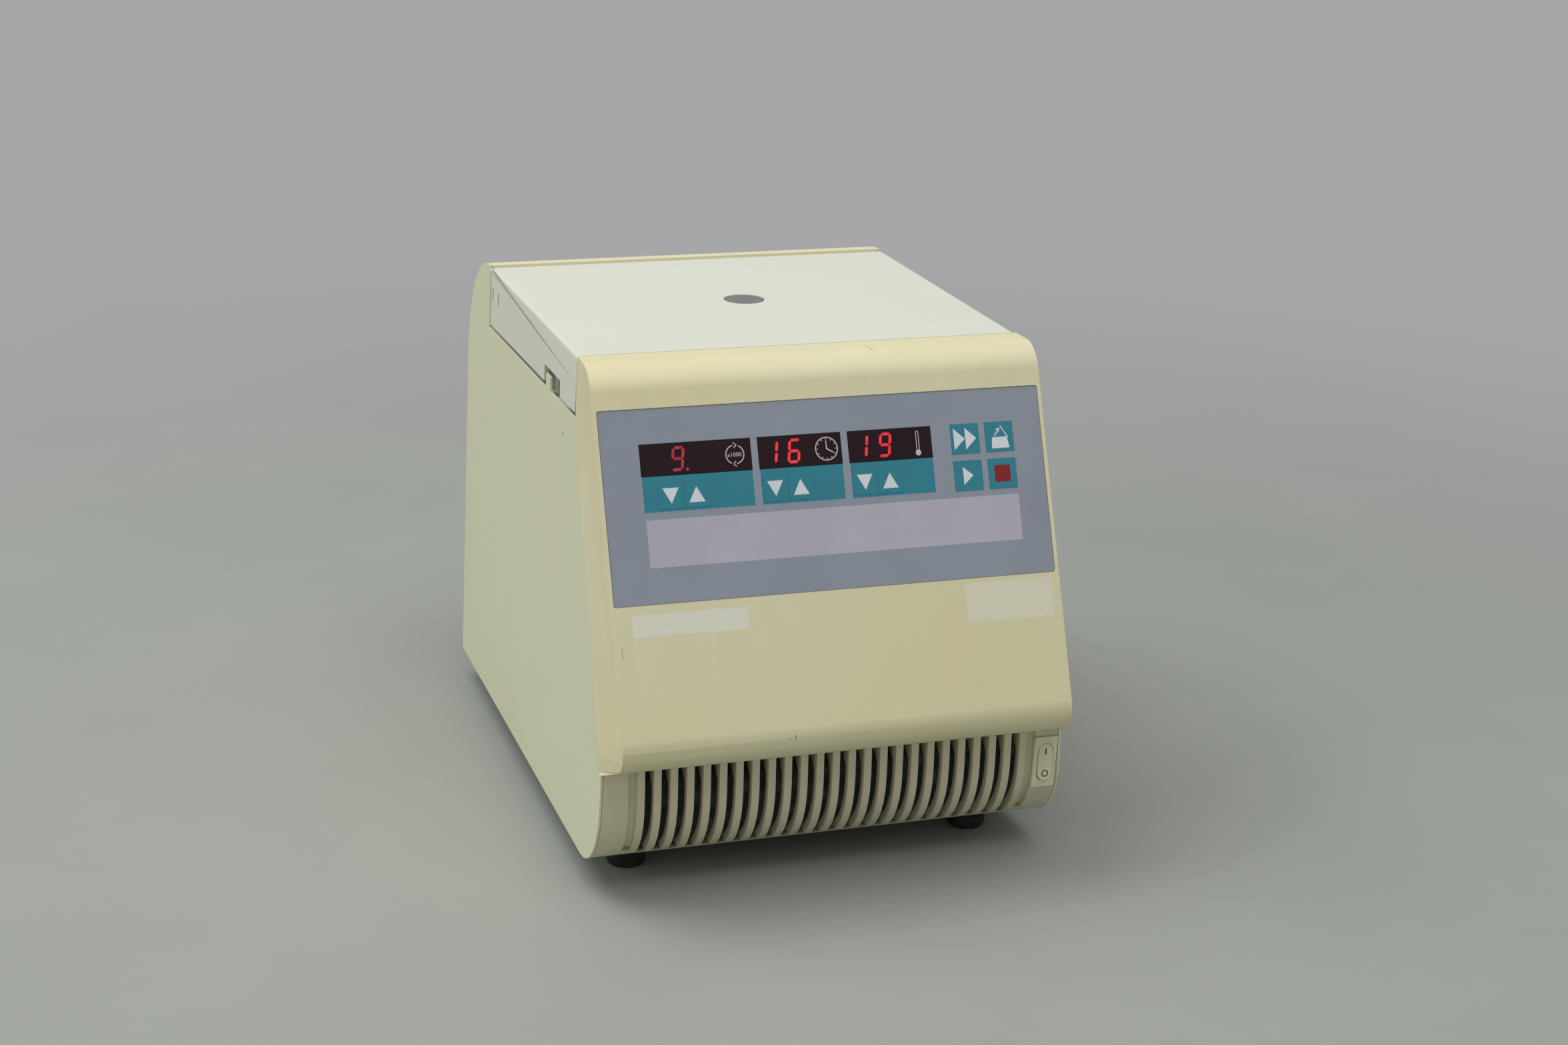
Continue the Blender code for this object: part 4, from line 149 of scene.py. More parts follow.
class Graph:
    """The node tree of one material, with short ways to add what the finishes need."""

    def __init__(self, name: str) -> None:
        """Start a material with a Principled shader.

        Args:
            name: the material's name.
        """
        self.material = bpy.data.materials.new(name)
        self.material.use_nodes = True
        self.tree = self.material.node_tree
        self.shader = self.tree.nodes["Principled BSDF"]

    def node(self, kind: str, settings: dict | None = None, inputs: dict | None = None,
             output: int | str = 0) -> Wire:
        """Add a node.

        Args:
            kind: the node's type.
            settings: its properties, such as a Math node's operation, set before its sockets.
            inputs: values or wires by socket name or number.
            output: the socket to hand back.

        Returns:
            The chosen output.
        """
        made = self.tree.nodes.new(kind)
        for name, value in (settings or {}).items():
            setattr(made, name, value)
        for key, value in (inputs or {}).items():
            self._feed(made.inputs[key], value)
        return Wire(self, made.outputs[output])

    def _feed(self, socket: bpy.types.NodeSocket, value: object) -> None:
        """Link a wire to a socket, or set the socket's own value.

        Args:
            socket: the input to feed.
            value: a wire, number or colour.
        """
        if isinstance(value, Wire):
            self.tree.links.new(value.socket, socket)
        elif isinstance(value, tuple) and len(value) == 3 and socket.type == "RGBA":
            socket.default_value = (*value, 1.0)
        else:
            socket.default_value = value

    def place(self) -> Wire:
        """Object coordinates."""
        return self.node("ShaderNodeTexCoord", output="Object")

    def axes(self) -> tuple[Wire, Wire, Wire]:
        """Object coordinates as three separate wires.

        Returns:
            The wires of X, Y and Z.
        """
        parts = self.tree.nodes.new("ShaderNodeSeparateXYZ")
        self.tree.links.new(self.place().socket, parts.inputs[0])
        return Wire(self, parts.outputs[0]), Wire(self, parts.outputs[1]), Wire(self, parts.outputs[2])

    def noise(self, size: float, detail: float = 2.0, stretch: Colour = (1.0, 1.0, 1.0),
              rough: float = 0.5) -> Wire:
        """Cloudy noise from 0 to 1.

        Args:
            size: how wide a cloud is, in metres.
            detail: octaves of finer noise.
            stretch: how much the noise is drawn out along each axis.
            rough: how strong the finer noise is.

        Returns:
            The noise.
        """
        scale = tuple(1.0 / amount for amount in stretch)
        spot = self.node("ShaderNodeMapping", None, {0: self.place(), 3: scale})
        inputs = {"Vector": spot, "Scale": 1.0 / size, "Detail": detail, "Roughness": rough}
        return self.node("ShaderNodeTexNoise", None, inputs)

    def mix(self, amount: Wire | float, first: Wire | Colour, second: Wire | Colour) -> Wire:
        """Blend two colours by an amount."""
        return self.node("ShaderNodeMix", {"data_type": "RGBA"}, {0: amount, 6: first, 7: second}, 2)

    def bump(self, height: Wire, depth: float, strength: float = 1.0) -> Wire:
        """A normal from a height map that is depth metres deep."""
        return self.node("ShaderNodeBump", None, {"Strength": strength, "Distance": depth, "Height": height})

    def set(self, **sockets: Wire | float | Colour) -> bpy.types.Material:
        """Feed the Principled shader, with underscores for the spaces of its socket names.

        Args:
            sockets: a wire, number or colour for each socket.

        Returns:
            The material.
        """
        for name, value in sockets.items():
            self._feed(self.shader.inputs[name.replace("_", " ").title().replace("Ior", "IOR")], value)
        return self.material


@dataclass(frozen=True)
class MouldedPlastic:
    """Cream instrument plastic: fine eroded grain, uneven yellowing and a little dust and rubbing."""

    name: str
    colour: Colour
    aged: Colour
    roughness: float = 0.5
    grain: float = 0.55 * MM
    grain_depth: float = 0.04 * MM
    ageing: float = 0.5
    cloud: float = 160.0 * MM
    speck: float = 1.1 * MM
    smear: float = 45.0 * MM
    polish: float = 60.0 * MM
    polish_spread: float = 0.16

    def base(self, graph: Graph) -> Wire:
        """Colour of the plastic before anything is laid on it.

        Args:
            graph: the material's graph.

        Returns:
            The colour.
        """
        clouds = graph.noise(self.cloud, 4.0, rough=0.6)
        aged = graph.mix(clouds.above(0.5, 0.5) * self.ageing, self.colour, self.aged)
        speck = graph.noise(self.speck, 1.0).above(0.70, 0.08)
        dark = tuple(value * 0.86 for value in self.colour)
        freckled = graph.mix(speck * 0.30, aged, dark)
        smear = graph.noise(self.smear, 5.0, (1.0, 1.0, 2.4), 0.7).above(0.62, 0.2)
        return graph.mix(smear * 0.10, freckled, tuple(value * 0.80 for value in self.colour))

    def relief(self, graph: Graph) -> Wire:
        """Normal of the grain."""
        grain = graph.noise(self.grain, 3.0, rough=0.6)
        return graph.bump(grain, self.grain_depth)

    def sheen(self, graph: Graph) -> Wire:
        """Roughness that wanders where hands have polished the plastic."""
        mean = self.roughness - self.polish_spread / 2
        return graph.noise(self.polish, 3.0) * self.polish_spread + mean

    def build(self) -> bpy.types.Material:
        """Make the material.

        Returns:
            The material.
        """
        graph = Graph(self.name)
        return graph.set(base_color=self.base(graph), roughness=self.sheen(graph), normal=self.relief(graph))


@dataclass(frozen=True)
class Patch:
    """A pale rest of an old label on the sloped face, in the face's own across and down."""

    left: float
    right: float
    top: float
    bottom: float
    strength: float
    ragged: float = 1.5 * MM


@dataclass(frozen=True)
class Nick:
    """A small rubbed spot, as an ellipsoid round a place of the object that colours what it meets."""

    place: Colour
    reach: Colour
    colour: Colour
    strength: float
    turn: float = 0.0


@dataclass(frozen=True)
class FrontPlastic(MouldedPlastic):
    """The front moulding's plastic, with the pale rests of old labels, short scuffs and nicks."""

    patches: tuple[Patch, ...] = ()
    nicks: tuple[Nick, ...] = ()
    residue: Colour = (0.79, 0.80, 0.73)
    soft_edge: float = 0.5 * MM
    waver: float = 6.0 * MM
    streak: float = 4.0 * MM
    scuff: float = 1.6 * MM
    scuff_colour: Colour = (0.86, 0.84, 0.74)

    def patch_mask(self, graph: Graph, patch: Patch, across: Wire, down: Wire) -> Wire:
        """Where one old label lay.

        Args:
            graph: the material's graph.
            patch: the label's place and strength.
            across: place across the face.
            down: place down the slope.

        Returns:
            A mask with a ragged edge.
        """
        waver = (graph.noise(self.waver, 4.0, rough=0.65) - 0.5) * (patch.ragged * 2.0)
        sideways, along = across + waver, down - waver
        soft = self.soft_edge
        mask = sideways.above(patch.left, soft) * (1.0 - sideways.above(patch.right, soft))
        mask = mask * along.above(patch.top, soft) * (1.0 - along.above(patch.bottom, soft))
        streaks = graph.noise(self.streak, 3.0, (7.0, 1.0, 1.0), 0.7).above(0.42, 0.5)
        return mask * (streaks * 0.35 + 0.65) * patch.strength

    def nick_mask(self, nick: Nick, axes: tuple[Wire, Wire, Wire]) -> Wire:
        """Where one nick lies.

        Args:
            nick: the nick.
            axes: object coordinates.

        Returns:
            A mask that fades out from the nick's middle.
        """
        across, away, up = (axis - middle for axis, middle in zip(axes, nick.place))
        turned = across * math.cos(nick.turn) + away * math.sin(nick.turn)
        ahead = away * math.cos(nick.turn) - across * math.sin(nick.turn)
        parts = [part / reach for part, reach in zip((turned, ahead, up), nick.reach)]
        far = parts[0] * parts[0] + parts[1] * parts[1] + parts[2] * parts[2]
        return (1.0 - far.above(0.6, 0.8)) * nick.strength

    def build(self) -> bpy.types.Material:
        """Make the material.

        Returns:
            The material.
        """
        graph = Graph(self.name)
        axes = graph.axes()
        down = FACE.down(axes[1], axes[2])
        colour = self.base(graph)
        marks: Wire | float = 0.0
        for patch in self.patches:
            marks = self.patch_mask(graph, patch, axes[0], down) + marks
        colour = graph.mix(marks, colour, self.residue)
        scuffs = graph.noise(self.scuff, 2.0, (9.0, 1.0, 1.2)).above(0.80, 0.05)
        colour = graph.mix(scuffs * 0.35, colour, self.scuff_colour)
        for nick in self.nicks:
            colour = graph.mix(self.nick_mask(nick, axes), colour, nick.colour)
        sheen = self.sheen(graph) + marks * 0.12
        return graph.set(base_color=colour, roughness=sheen, normal=self.relief(graph))


@dataclass(frozen=True)
class PrintedFilm:
    """Satin printed film of the operating panel, with fine embossing and faint dust."""

    name: str
    colour: Colour
    roughness: float = 0.42
    fading: float = 0.10
    embossing: float = 0.5 * MM
    embossing_depth: float = 0.015 * MM
    cloud: float = 50.0 * MM
    dust: float = 0.9 * MM
    dust_colour: Colour = (0.7, 0.7, 0.68)

    def build(self) -> bpy.types.Material:
        """Make the material.

        Returns:
            The material.
        """
        graph = Graph(self.name)
        fine = graph.noise(self.embossing, 2.0)
        cloud = graph.noise(self.cloud, 3.0)
        darker = tuple(value * (1.0 - self.fading) for value in self.colour)
        colour = graph.mix(cloud.above(0.5, 0.6), self.colour, darker)
        dust = graph.noise(self.dust, 1.0).above(0.74, 0.05)
        colour = graph.mix(dust * 0.18, colour, self.dust_colour)
        return graph.set(base_color=colour, roughness=fine * 0.1 + (self.roughness - 0.05),
                         normal=graph.bump(fine, self.embossing_depth))


@dataclass(frozen=True)
class SmokedFilm:
    """Smoked red window over the digits, glossier than the film round it."""

    name: str
    colour: Colour = (0.016, 0.005, 0.008)
    gloss: float = 0.3
    smear: float = 12.0 * MM

    def build(self) -> bpy.types.Material:
        """Make the material.

        Returns:
            The material.
        """
        graph = Graph(self.name)
        graph.shader.inputs["Specular IOR Level"].default_value = self.gloss
        smear = graph.noise(self.smear, 4.0, (3.0, 1.0, 1.0), 0.6)
        colour = graph.mix(smear * 0.5, self.colour, tuple(value * 1.8 for value in self.colour))
        return graph.set(base_color=colour, roughness=smear * 0.14 + 0.2)


@dataclass(frozen=True)
class Lamp:
    """Lit segments of a display, paler in random patches."""

    name: str
    colour: Colour
    strength: float
    unlit: Colour = (0.10, 0.006, 0.01)
    patch: float = 3.0 * MM

    def build(self) -> bpy.types.Material:
        """Make the material.

        Returns:
            The material.
        """
        graph = Graph(self.name)
        flicker = graph.noise(self.patch, 2.0)
        pale = (self.colour[0], self.colour[1] + 0.10, self.colour[2] + 0.05)
        glow = graph.mix(flicker.above(0.55, 0.5) * 0.5, self.colour, pale)
        graph.shader.inputs["Emission Strength"].default_value = self.strength
        return graph.set(base_color=self.unlit, emission_color=glow, roughness=0.35)


@dataclass(frozen=True)
class Metal:
    """Worked metal: a direction of brushing or turning, stains and small scratches."""

    name: str
    colour: Colour
    roughness: float = 0.3
    drawn: Colour = (30.0, 1.0, 1.0)
    metallic: float = 1.0
    scratch: float = 0.4 * MM
    scratch_depth: float = 0.01 * MM
    stain: float = 30.0 * MM

    def build(self) -> bpy.types.Material:
        """Make the material.

        Returns:
            The material.
        """
        graph = Graph(self.name)
        lines = graph.noise(self.scratch, 3.0, self.drawn, 0.7)
        stain = graph.noise(self.stain, 4.0, rough=0.6)
        dull = tuple(value * 0.8 for value in self.colour)
        colour = graph.mix(stain.above(0.52, 0.4) * 0.6, self.colour, dull)
        rough = lines * 0.16 + stain * 0.1 + (self.roughness - 0.12)
        return graph.set(base_color=colour, metallic=self.metallic, roughness=rough,
                         normal=graph.bump(lines, self.scratch_depth))


@dataclass(frozen=True)
class Soft:
    """Rubber, foam and woven filter: matt, mottled and slightly dusty."""

    name: str
    colour: Colour
    roughness: float = 0.8
    pore: float = 0.9 * MM
    depth: float = 0.1 * MM
    dust: float = 0.15
    dust_patch: float = 12.0 * MM
    dust_colour: Colour = (0.45, 0.44, 0.40)

    def build(self) -> bpy.types.Material:
        """Make the material.

        Returns:
            The material.
        """
        graph = Graph(self.name)
        pores = graph.noise(self.pore, 3.0, rough=0.6)
        settled = graph.noise(self.dust_patch, 4.0, rough=0.7).above(0.56, 0.2)
        colour = graph.mix(settled * self.dust, self.colour, self.dust_colour)
        return graph.set(base_color=colour, roughness=pores * 0.14 + (self.roughness - 0.07),
                         normal=graph.bump(pores, self.depth))


@dataclass(frozen=True)
class SmokedClear:
    """Smoked clear plastic of the sight glass."""

    name: str
    colour: Colour = (0.150, 0.150, 0.142)
    haze: float = 4.0 * MM

    def build(self) -> bpy.types.Material:
        """Make the material.

        Returns:
            The material.
        """
        graph = Graph(self.name)
        haze = graph.noise(self.haze, 3.0)
        colour = graph.mix(haze * 0.4, self.colour, tuple(value * 1.6 for value in self.colour))
        return graph.set(base_color=colour, roughness=haze * 0.08 + 0.06)


@dataclass(frozen=True)
class SlopedFace:
    """The plane of the front moulding's sloped face, with its origin at the panel's top edge."""

    lean: float = math.radians(22.6)
    depth: float = 358.5 * MM
    height: float = 270.5 * MM
    panel_top: float = 275.3 * MM
    rear_y: float = 215.75 * MM
    underside: float = 20.0 * MM

    def origin(self) -> Vector:
        """World place of the middle of the panel's top edge."""
        forward = self.depth + (self.height - self.panel_top) * math.tan(self.lean)
        return Vector((0.0, self.rear_y - forward, self.underside + self.panel_top))

    def matrix(self, proud: float = 0.0) -> Matrix:
        """Frame of the face, X across, Y up the slope, Z out, lifted by proud metres.

        Args:
            proud: how far in front of the face the frame lies.

        Returns:
            The frame's matrix.
        """
        up = Vector((0.0, math.sin(self.lean), math.cos(self.lean)))
        out = Vector((0.0, -math.cos(self.lean), math.sin(self.lean)))
        turn = Matrix((Vector((1.0, 0.0, 0.0)), up, out)).transposed().to_4x4()
        return Matrix.Translation(self.origin() + out * proud) @ turn

    def down(self, away: Wire, up: Wire) -> Wire:
        """Distance down the slope as a wire, from the wires of world Y and Z."""
        start = self.origin()
        return (start.y - away) * math.sin(self.lean) + (start.z - up) * math.cos(self.lean)


FACE = SlopedFace()


class Finish(Enum):
    """Every finish on the object."""

    SIDE = MouldedPlastic("side_plastic", (0.72, 0.73, 0.52), (0.70, 0.68, 0.44), ageing=0.45)
    REAR = MouldedPlastic("rear_plastic", (0.80, 0.77, 0.53), (0.78, 0.72, 0.45), ageing=0.5)
    FRONT = FrontPlastic(
        "front_plastic", (0.76, 0.72, 0.48), (0.72, 0.65, 0.37), ageing=0.6,
        patches=(Patch(*in_mm(-127.4, -58.0, 119.0, 132.0), 0.72),
                 Patch(*in_mm(-127.0, -79.0, 133.0, 165.0), 0.12),
                 Patch(*in_mm(78.0, 134.0, 116.5, 140.0), 0.48)),
        nicks=(Nick(in_mm(36.6, -117.0, 318.0), in_mm(1.0, 8.0, 3.0), (0.42, 0.36, 0.20), 0.55, 0.18),
               Nick(in_mm(-68.0, -214.5, 110.5), in_mm(2.2, 3.0, 1.8), (0.80, 0.80, 0.78), 0.6),
               Nick(in_mm(-82.0, -214.5, 108.5), in_mm(3.4, 3.0, 1.0), (0.80, 0.80, 0.78), 0.5),
               Nick(in_mm(-35.6, -215.0, 112.5), in_mm(0.7, 3.0, 2.0), (0.16, 0.15, 0.11), 0.6),
               Nick(in_mm(-39.0, -215.0, 111.8), in_mm(1.0, 3.0, 0.8), (0.20, 0.19, 0.14), 0.5),
               Nick(in_mm(-134.9, -195.1, 167.0), in_mm(0.5, 3.0, 6.0), (0.30, 0.24, 0.26), 0.6)))
    GRILLE = MouldedPlastic("grille_plastic", (0.66, 0.63, 0.46), (0.62, 0.57, 0.38), ageing=0.5)
    LID = MouldedPlastic("lid_plastic", (0.71, 0.73, 0.63), (0.69, 0.70, 0.57), ageing=0.35)
    SWITCH = MouldedPlastic("switch_plastic", (0.78, 0.74, 0.52), (0.75, 0.70, 0.46), roughness=0.35,
                            grain_depth=0.01 * MM)
    PANEL = PrintedFilm("panel_film", (0.300, 0.335, 0.400))
    STRIP = PrintedFilm("strip_print", (0.500, 0.485, 0.565))
    TEAL = PrintedFilm("teal_print", (0.026, 0.240, 0.315))
    WHITE = PrintedFilm("white_print", (0.76, 0.80, 0.83))
    ICON = PrintedFilm("icon_print", (0.66, 0.61, 0.64))
    RED_KEY = PrintedFilm("red_print", (0.260, 0.008, 0.012))
    MARK = PrintedFilm("switch_mark", (0.030, 0.030, 0.030))
    WINDOW = SmokedFilm("window_film")
    DIGIT = Lamp("lit_segment", (0.78, 0.006, 0.026), 0.95)
    DIM_DIGIT = Lamp("dim_segment", (0.36, 0.008, 0.022), 0.75)
    STAINLESS = Metal("stainless", (0.62, 0.62, 0.60), 0.28, (1.0, 1.0, 30.0))
    ALUMINIUM = Metal("aluminium", (0.70, 0.71, 0.72), 0.34, (1.0, 1.0, 20.0))
    STEEL = Metal("steel", (0.46, 0.47, 0.47), 0.36)
    SCREW = Metal("zinc_plate", (0.60, 0.60, 0.56), 0.30, (1.0, 1.0, 1.0))
    COPPER = Metal("copper", (0.72, 0.36, 0.22), 0.32)
    ENAMEL = Metal("black_enamel", (0.02, 0.02, 0.022), 0.35, (1.0, 1.0, 1.0), 0.0)
    BLACK = Metal("black_plastic", (0.025, 0.025, 0.027), 0.5, (1.0, 1.0, 1.0), 0.0)
    BOARD = Metal("solder_mask", (0.02, 0.14, 0.06), 0.42, (1.0, 1.0, 1.0), 0.0)
    RUBBER = Soft("rubber", (0.008, 0.008, 0.007), dust=0.05)
    FOAM = Soft("foam", (0.62, 0.60, 0.52), 0.9, 1.6 * MM, 0.3 * MM, 0.1)
    WIRE = Soft("filter_wire", (0.030, 0.028, 0.024), 0.65, 0.4 * MM, 0.03 * MM, 0.20)
    FILTER = Soft("filter_foam", (0.004, 0.004, 0.003), 0.9, 1.6 * MM, 0.3 * MM, 0.02)
    GLASS = SmokedClear("smoked_clear")

    def material(self) -> bpy.types.Material:
        """The finish's material, made on first use.

        Returns:
            The material, under a name of its own that no packed material has.
        """
        name = "finish_" + self.value.name
        made = bpy.data.materials.get(name)
        if made is None:
            made = self.value.build()
            made.name = name
        return made


def weld(mesh: bpy.types.Mesh, flat: float = 0.0) -> None:
    """Merge a mesh's doubles, and its flat triangles into larger faces where an angle is given.

    Args:
        mesh: the mesh, which is changed.
        flat: largest angle between faces that are merged.
    """
    work = bmesh.new()
    work.from_mesh(mesh)
    bmesh.ops.remove_doubles(work, verts=work.verts, dist=WELD_GAP)
    if flat > 0.0:
        bmesh.ops.dissolve_limit(work, angle_limit=flat, verts=work.verts, edges=work.edges)
    work.to_mesh(mesh)
    work.free()


def evaluated(item: bpy.types.Object) -> bpy.types.Mesh:
    """A new mesh of what an object evaluates to.

    Args:
        item: the object.

    Returns:
        The mesh.
    """
    bpy.context.view_layer.update()
    graph = bpy.context.evaluated_depsgraph_get()
    return bpy.data.meshes.new_from_object(item.evaluated_get(graph))


def settle(item: bpy.types.Object, name: str) -> bpy.types.Object:
    """Replace an object by a plain mesh object at the origin, with its place in its mesh.

    Args:
        item: the object, which is removed.
        name: the new object's name.

    Returns:
        The new object.
    """
    mesh = evaluated(item)
    mesh.transform(item.matrix_world)
    bpy.data.objects.remove(item, do_unlink=True)
    mesh.name = name
    made = bpy.data.objects.new(name, mesh)
    bpy.context.scene.collection.objects.link(made)
    return made


def register(piece: bpy.types.Object, body: str, finish: Finish, slot: str, *nodes: str) -> bpy.types.Object:
    """Give a piece its material and body, and hide the nodes that it stands for.

    Args:
        piece: the finished mesh object.
        body: the body that it rides on.
        finish: its finish.
        slot: the record's material slot; not used.
        nodes: the nodes that it replaces.

    Returns:
        The piece.
    """
    piece.data.materials.clear()
    piece.data.materials.append(finish.material())
    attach(piece, body)
    if nodes:
        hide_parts(*nodes)
    LOG.info("%s rides on %s", piece.name, body)
    return piece


@dataclass
class Frame:
    """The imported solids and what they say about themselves."""

    data: dict

    def node(self, name: str) -> bpy.types.Object:
        """A node's packed object."""
        return self.data["nodes"][name]

    def body_of(self, node: str) -> str:
        """Body that a node belongs to."""
        bodies = self.data["record"]["behaviour"]["bodies"]
        return next(body for body, nodes in bodies.items() if node in nodes)

    def slot_of(self, node: str) -> str:
        """Material slot that a node has in the record."""
        return next(part["material_slot"] for part in self.data["record"]["subparts"] if part["node"] == node)

    def dress(self, node: str, finish: Finish, edge: float = 0.3 * MM, segments: int = 2,
              crease: float = CREASE_ANGLE) -> bpy.types.Object:
        """Make the shown piece of a rigid node: its own shape with softened edges and smooth curves.

        Args:
            node: the node.
            finish: its finish.
            edge: radius of the softened edges.
            segments: faces across such an edge.
            crease: least angle between two faces that counts as an edge.

        Returns:
            The piece.
        """
        mesh = self.data["nodes"][node].data.copy()
        weld(mesh, FLAT_ANGLE if edge > 0.0 else 0.0)
        item = bpy.data.objects.new(node + "_shape", mesh)
        bpy.context.scene.collection.objects.link(item)
        if edge == 0.0:
            piece = settle(item, node + "_skin")
            piece.data.shade_flat()
            return register(piece, self.body_of(node), finish, self.slot_of(node), node)
        bevel = item.modifiers.new("edges", "BEVEL")
        bevel.width = edge
        bevel.segments = segments
        bevel.limit_method = "ANGLE"
        bevel.angle_limit = crease
        bevel.harden_normals = False
        bevel.miter_outer = "MITER_ARC"
        piece = settle(item, node + "_skin")
        piece.data.shade_smooth()
        piece.data.set_sharp_from_angle(angle=SMOOTH_ANGLE)
        weighted = piece.modifiers.new("even_normals", "WEIGHTED_NORMAL")
        weighted.keep_sharp = True
        weighted.weight = NORMAL_WEIGHT
        smoothed = evaluated(piece)
        old = piece.data
        piece.modifiers.clear()
        piece.data = smoothed
        bpy.data.meshes.remove(old)
        return register(piece, self.body_of(node), finish, self.slot_of(node), node)


@dataclass(frozen=True)
class Seat:
    """A place on a surface, and the way that the surface looks there."""

    place: Vector
    facing: Vector


def seat_on(node: bpy.types.Object, start: Vector, way: Vector) -> Seat:
    """Find where a straight line first meets a node.

    Args:
        node: the node's object.
        start: where the line starts, outside the node.
        way: the line's direction.

    Returns:
        The meeting place and the way back along the surface's normal.
    """
    corners = [vertex.co for vertex in node.data.vertices]
    surface = BVHTree.FromPolygons(corners, [tuple(face.vertices) for face in node.data.polygons])
    place, normal, _, _ = surface.ray_cast(start, way)
    if place is None:
        raise ValueError("no surface of %s on the line" % node.name)
    return Seat(place, normal if normal.dot(way) < 0.0 else -normal)


def plate(name: str, loops: list[Loop], place: Matrix, thickness: float) -> bpy.types.Object:
    """A thin flat plate from closed outlines, whose back lies on the place's XY plane.

    Args:
        name: the plate's name.
        loops: outlines in the place's own XY, holes among them.
        place: the frame that it lies in.
        thickness: how far it stands out.

    Returns:
        The plate as a mesh object at the origin.
    """
    curve = bpy.data.curves.new(name, "CURVE")
    curve.dimensions = "2D"
    curve.fill_mode = "BOTH"
    curve.extrude = thickness / 2
    for loop in loops:
        spline = curve.splines.new("POLY")
        spline.points.add(len(loop) - 1)
        for point, (across, up) in zip(spline.points, loop):
            point.co = (across, up, 0.0, 1.0)
        spline.use_cyclic_u = True
    item = bpy.data.objects.new(name, curve)
    bpy.context.scene.collection.objects.link(item)
    item.matrix_world = place @ Matrix.Translation((0.0, 0.0, thickness / 2))
    made = settle(item, name)
    weld(made.data)
    return made


def box_loop(left: float, right: float, top: float, bottom: float) -> Loop:
    """A rectangle given by two sides and by how far down the slope its top and bottom lie."""
    return [(left, -bottom), (right, -bottom), (right, -top), (left, -top)]


def round_loop(centre: Point, radius: float, steps: int = 40) -> Loop:
    """A circle."""
    angles = [2 * math.pi / steps * i for i in range(steps)]
    return [(centre[0] + radius * math.cos(angle), centre[1] + radius * math.sin(angle)) for angle in angles]


def arc_loop(centre: Point, radius: float, width: float, start: float, end: float, steps: int = 20) -> Loop:
    """A stretch of a ring as a closed outline, its angles in degrees.

    Args:
        centre: the ring's middle.
        radius: radius of the stroke's middle line.
        width: width of the stroke.
        start: angle where it starts.
        end: angle where it ends.
        steps: straight pieces along it.

    Returns:
        The outline.
    """
    first, last = math.radians(start), math.radians(end)
    turn = (last - first) / steps
    rim = [(first + turn * i) for i in range(steps + 1)]
    outer, inner = ([(centre[0] + reach * math.cos(angle),
                      centre[1] + reach * math.sin(angle)) for angle in rim]
                    for reach in (radius + width / 2, radius - width / 2))
    return outer + inner[::-1]


def bar_loop(start: Point, end: Point, width: float) -> Loop:
    """A straight stroke as a closed outline.

    Args:
        start: where its middle line starts.
        end: where it ends.
        width: its width.

    Returns:
        The outline.
    """
    run = Vector((end[0] - start[0], end[1] - start[1])).normalized()
    side = Vector((-run.y, run.x)) * width / 2
    first, last = Vector(start), Vector(end)
    return [tuple(first + side), tuple(first - side), tuple(last - side), tuple(last + side)]


class Icon(Enum):
    """The pictures printed on the panel's keys."""

    DOWN = "down"
    UP = "up"
    FAST = "fast"
    LID = "lid"
    START = "start"
    STOP = "stop"


@dataclass(frozen=True)
class KeyIcons:
    """Sizes of the pictures on the keys, each measured from its key's middle."""

    arrow_half: float = 4.9 * MM
    arrow_tall: float = 9.2 * MM
    fast_half: float = 6.6 * MM
    fast_deep: float = 7.0 * MM
    fast_starts: Point = (-7.2 * MM, 0.2 * MM)
    start_half: float = 5.4 * MM
    start_deep: float = 3.2 * MM
    stop_half: float = 5.1 * MM
    chest: tuple[Point, ...] = (in_mm(-5.3, -7.0), in_mm(6.2, -7.0), in_mm(4.9, -0.2), in_mm(-4.6, -0.2))
    cover: tuple[Point, ...] = (in_mm(5.1, -0.6), in_mm(6.0, -0.9), in_mm(1.3, 7.0), in_mm(1.0, 6.4))
    shaft: tuple[Point, ...] = (in_mm(-3.0, 0.6), in_mm(-0.6, 4.0))
    shaft_width: float = 0.6 * MM
    head: tuple[Point, ...] = (in_mm(0.5, 5.6), in_mm(-2.0, 4.5), in_mm(0.2, 2.8))

    def loops(self, icon: Icon, middle: Point) -> list[Loop]:
        """Outlines of an icon.

        Args:
            icon: the icon.
            middle: the key's middle.

        Returns:
            The outlines.
        """
        x, y = middle
        if icon in (Icon.DOWN, Icon.UP):
            rise = self.arrow_tall / 2 * (1.0 if icon is Icon.UP else -1.0)
            return [[(x - self.arrow_half, y - rise), (x + self.arrow_half, y - rise), (x, y + rise)]]
        if icon is Icon.FAST:
            half, deep = self.fast_half, self.fast_deep
            return [[(x + shift, y - half), (x + shift + deep, y), (x + shift, y + half)]
                    for shift in self.fast_starts]
        if icon is Icon.START:
            half, deep = self.start_half, self.start_deep
            return [[(x - deep, y - half), (x + deep, y), (x - deep, y + half)]]
        if icon is Icon.STOP:
            side = self.stop_half
            return [[(x - side, y - side), (x + side, y - side), (x + side, y + side), (x - side, y + side)]]
        chest, cover, shaft, head = ([(x + across, y + up) for across, up in points]
                                     for points in (self.chest, self.cover, self.shaft, self.head))
        return [chest, cover, bar_loop(shaft[0], shaft[1], self.shaft_width), head]


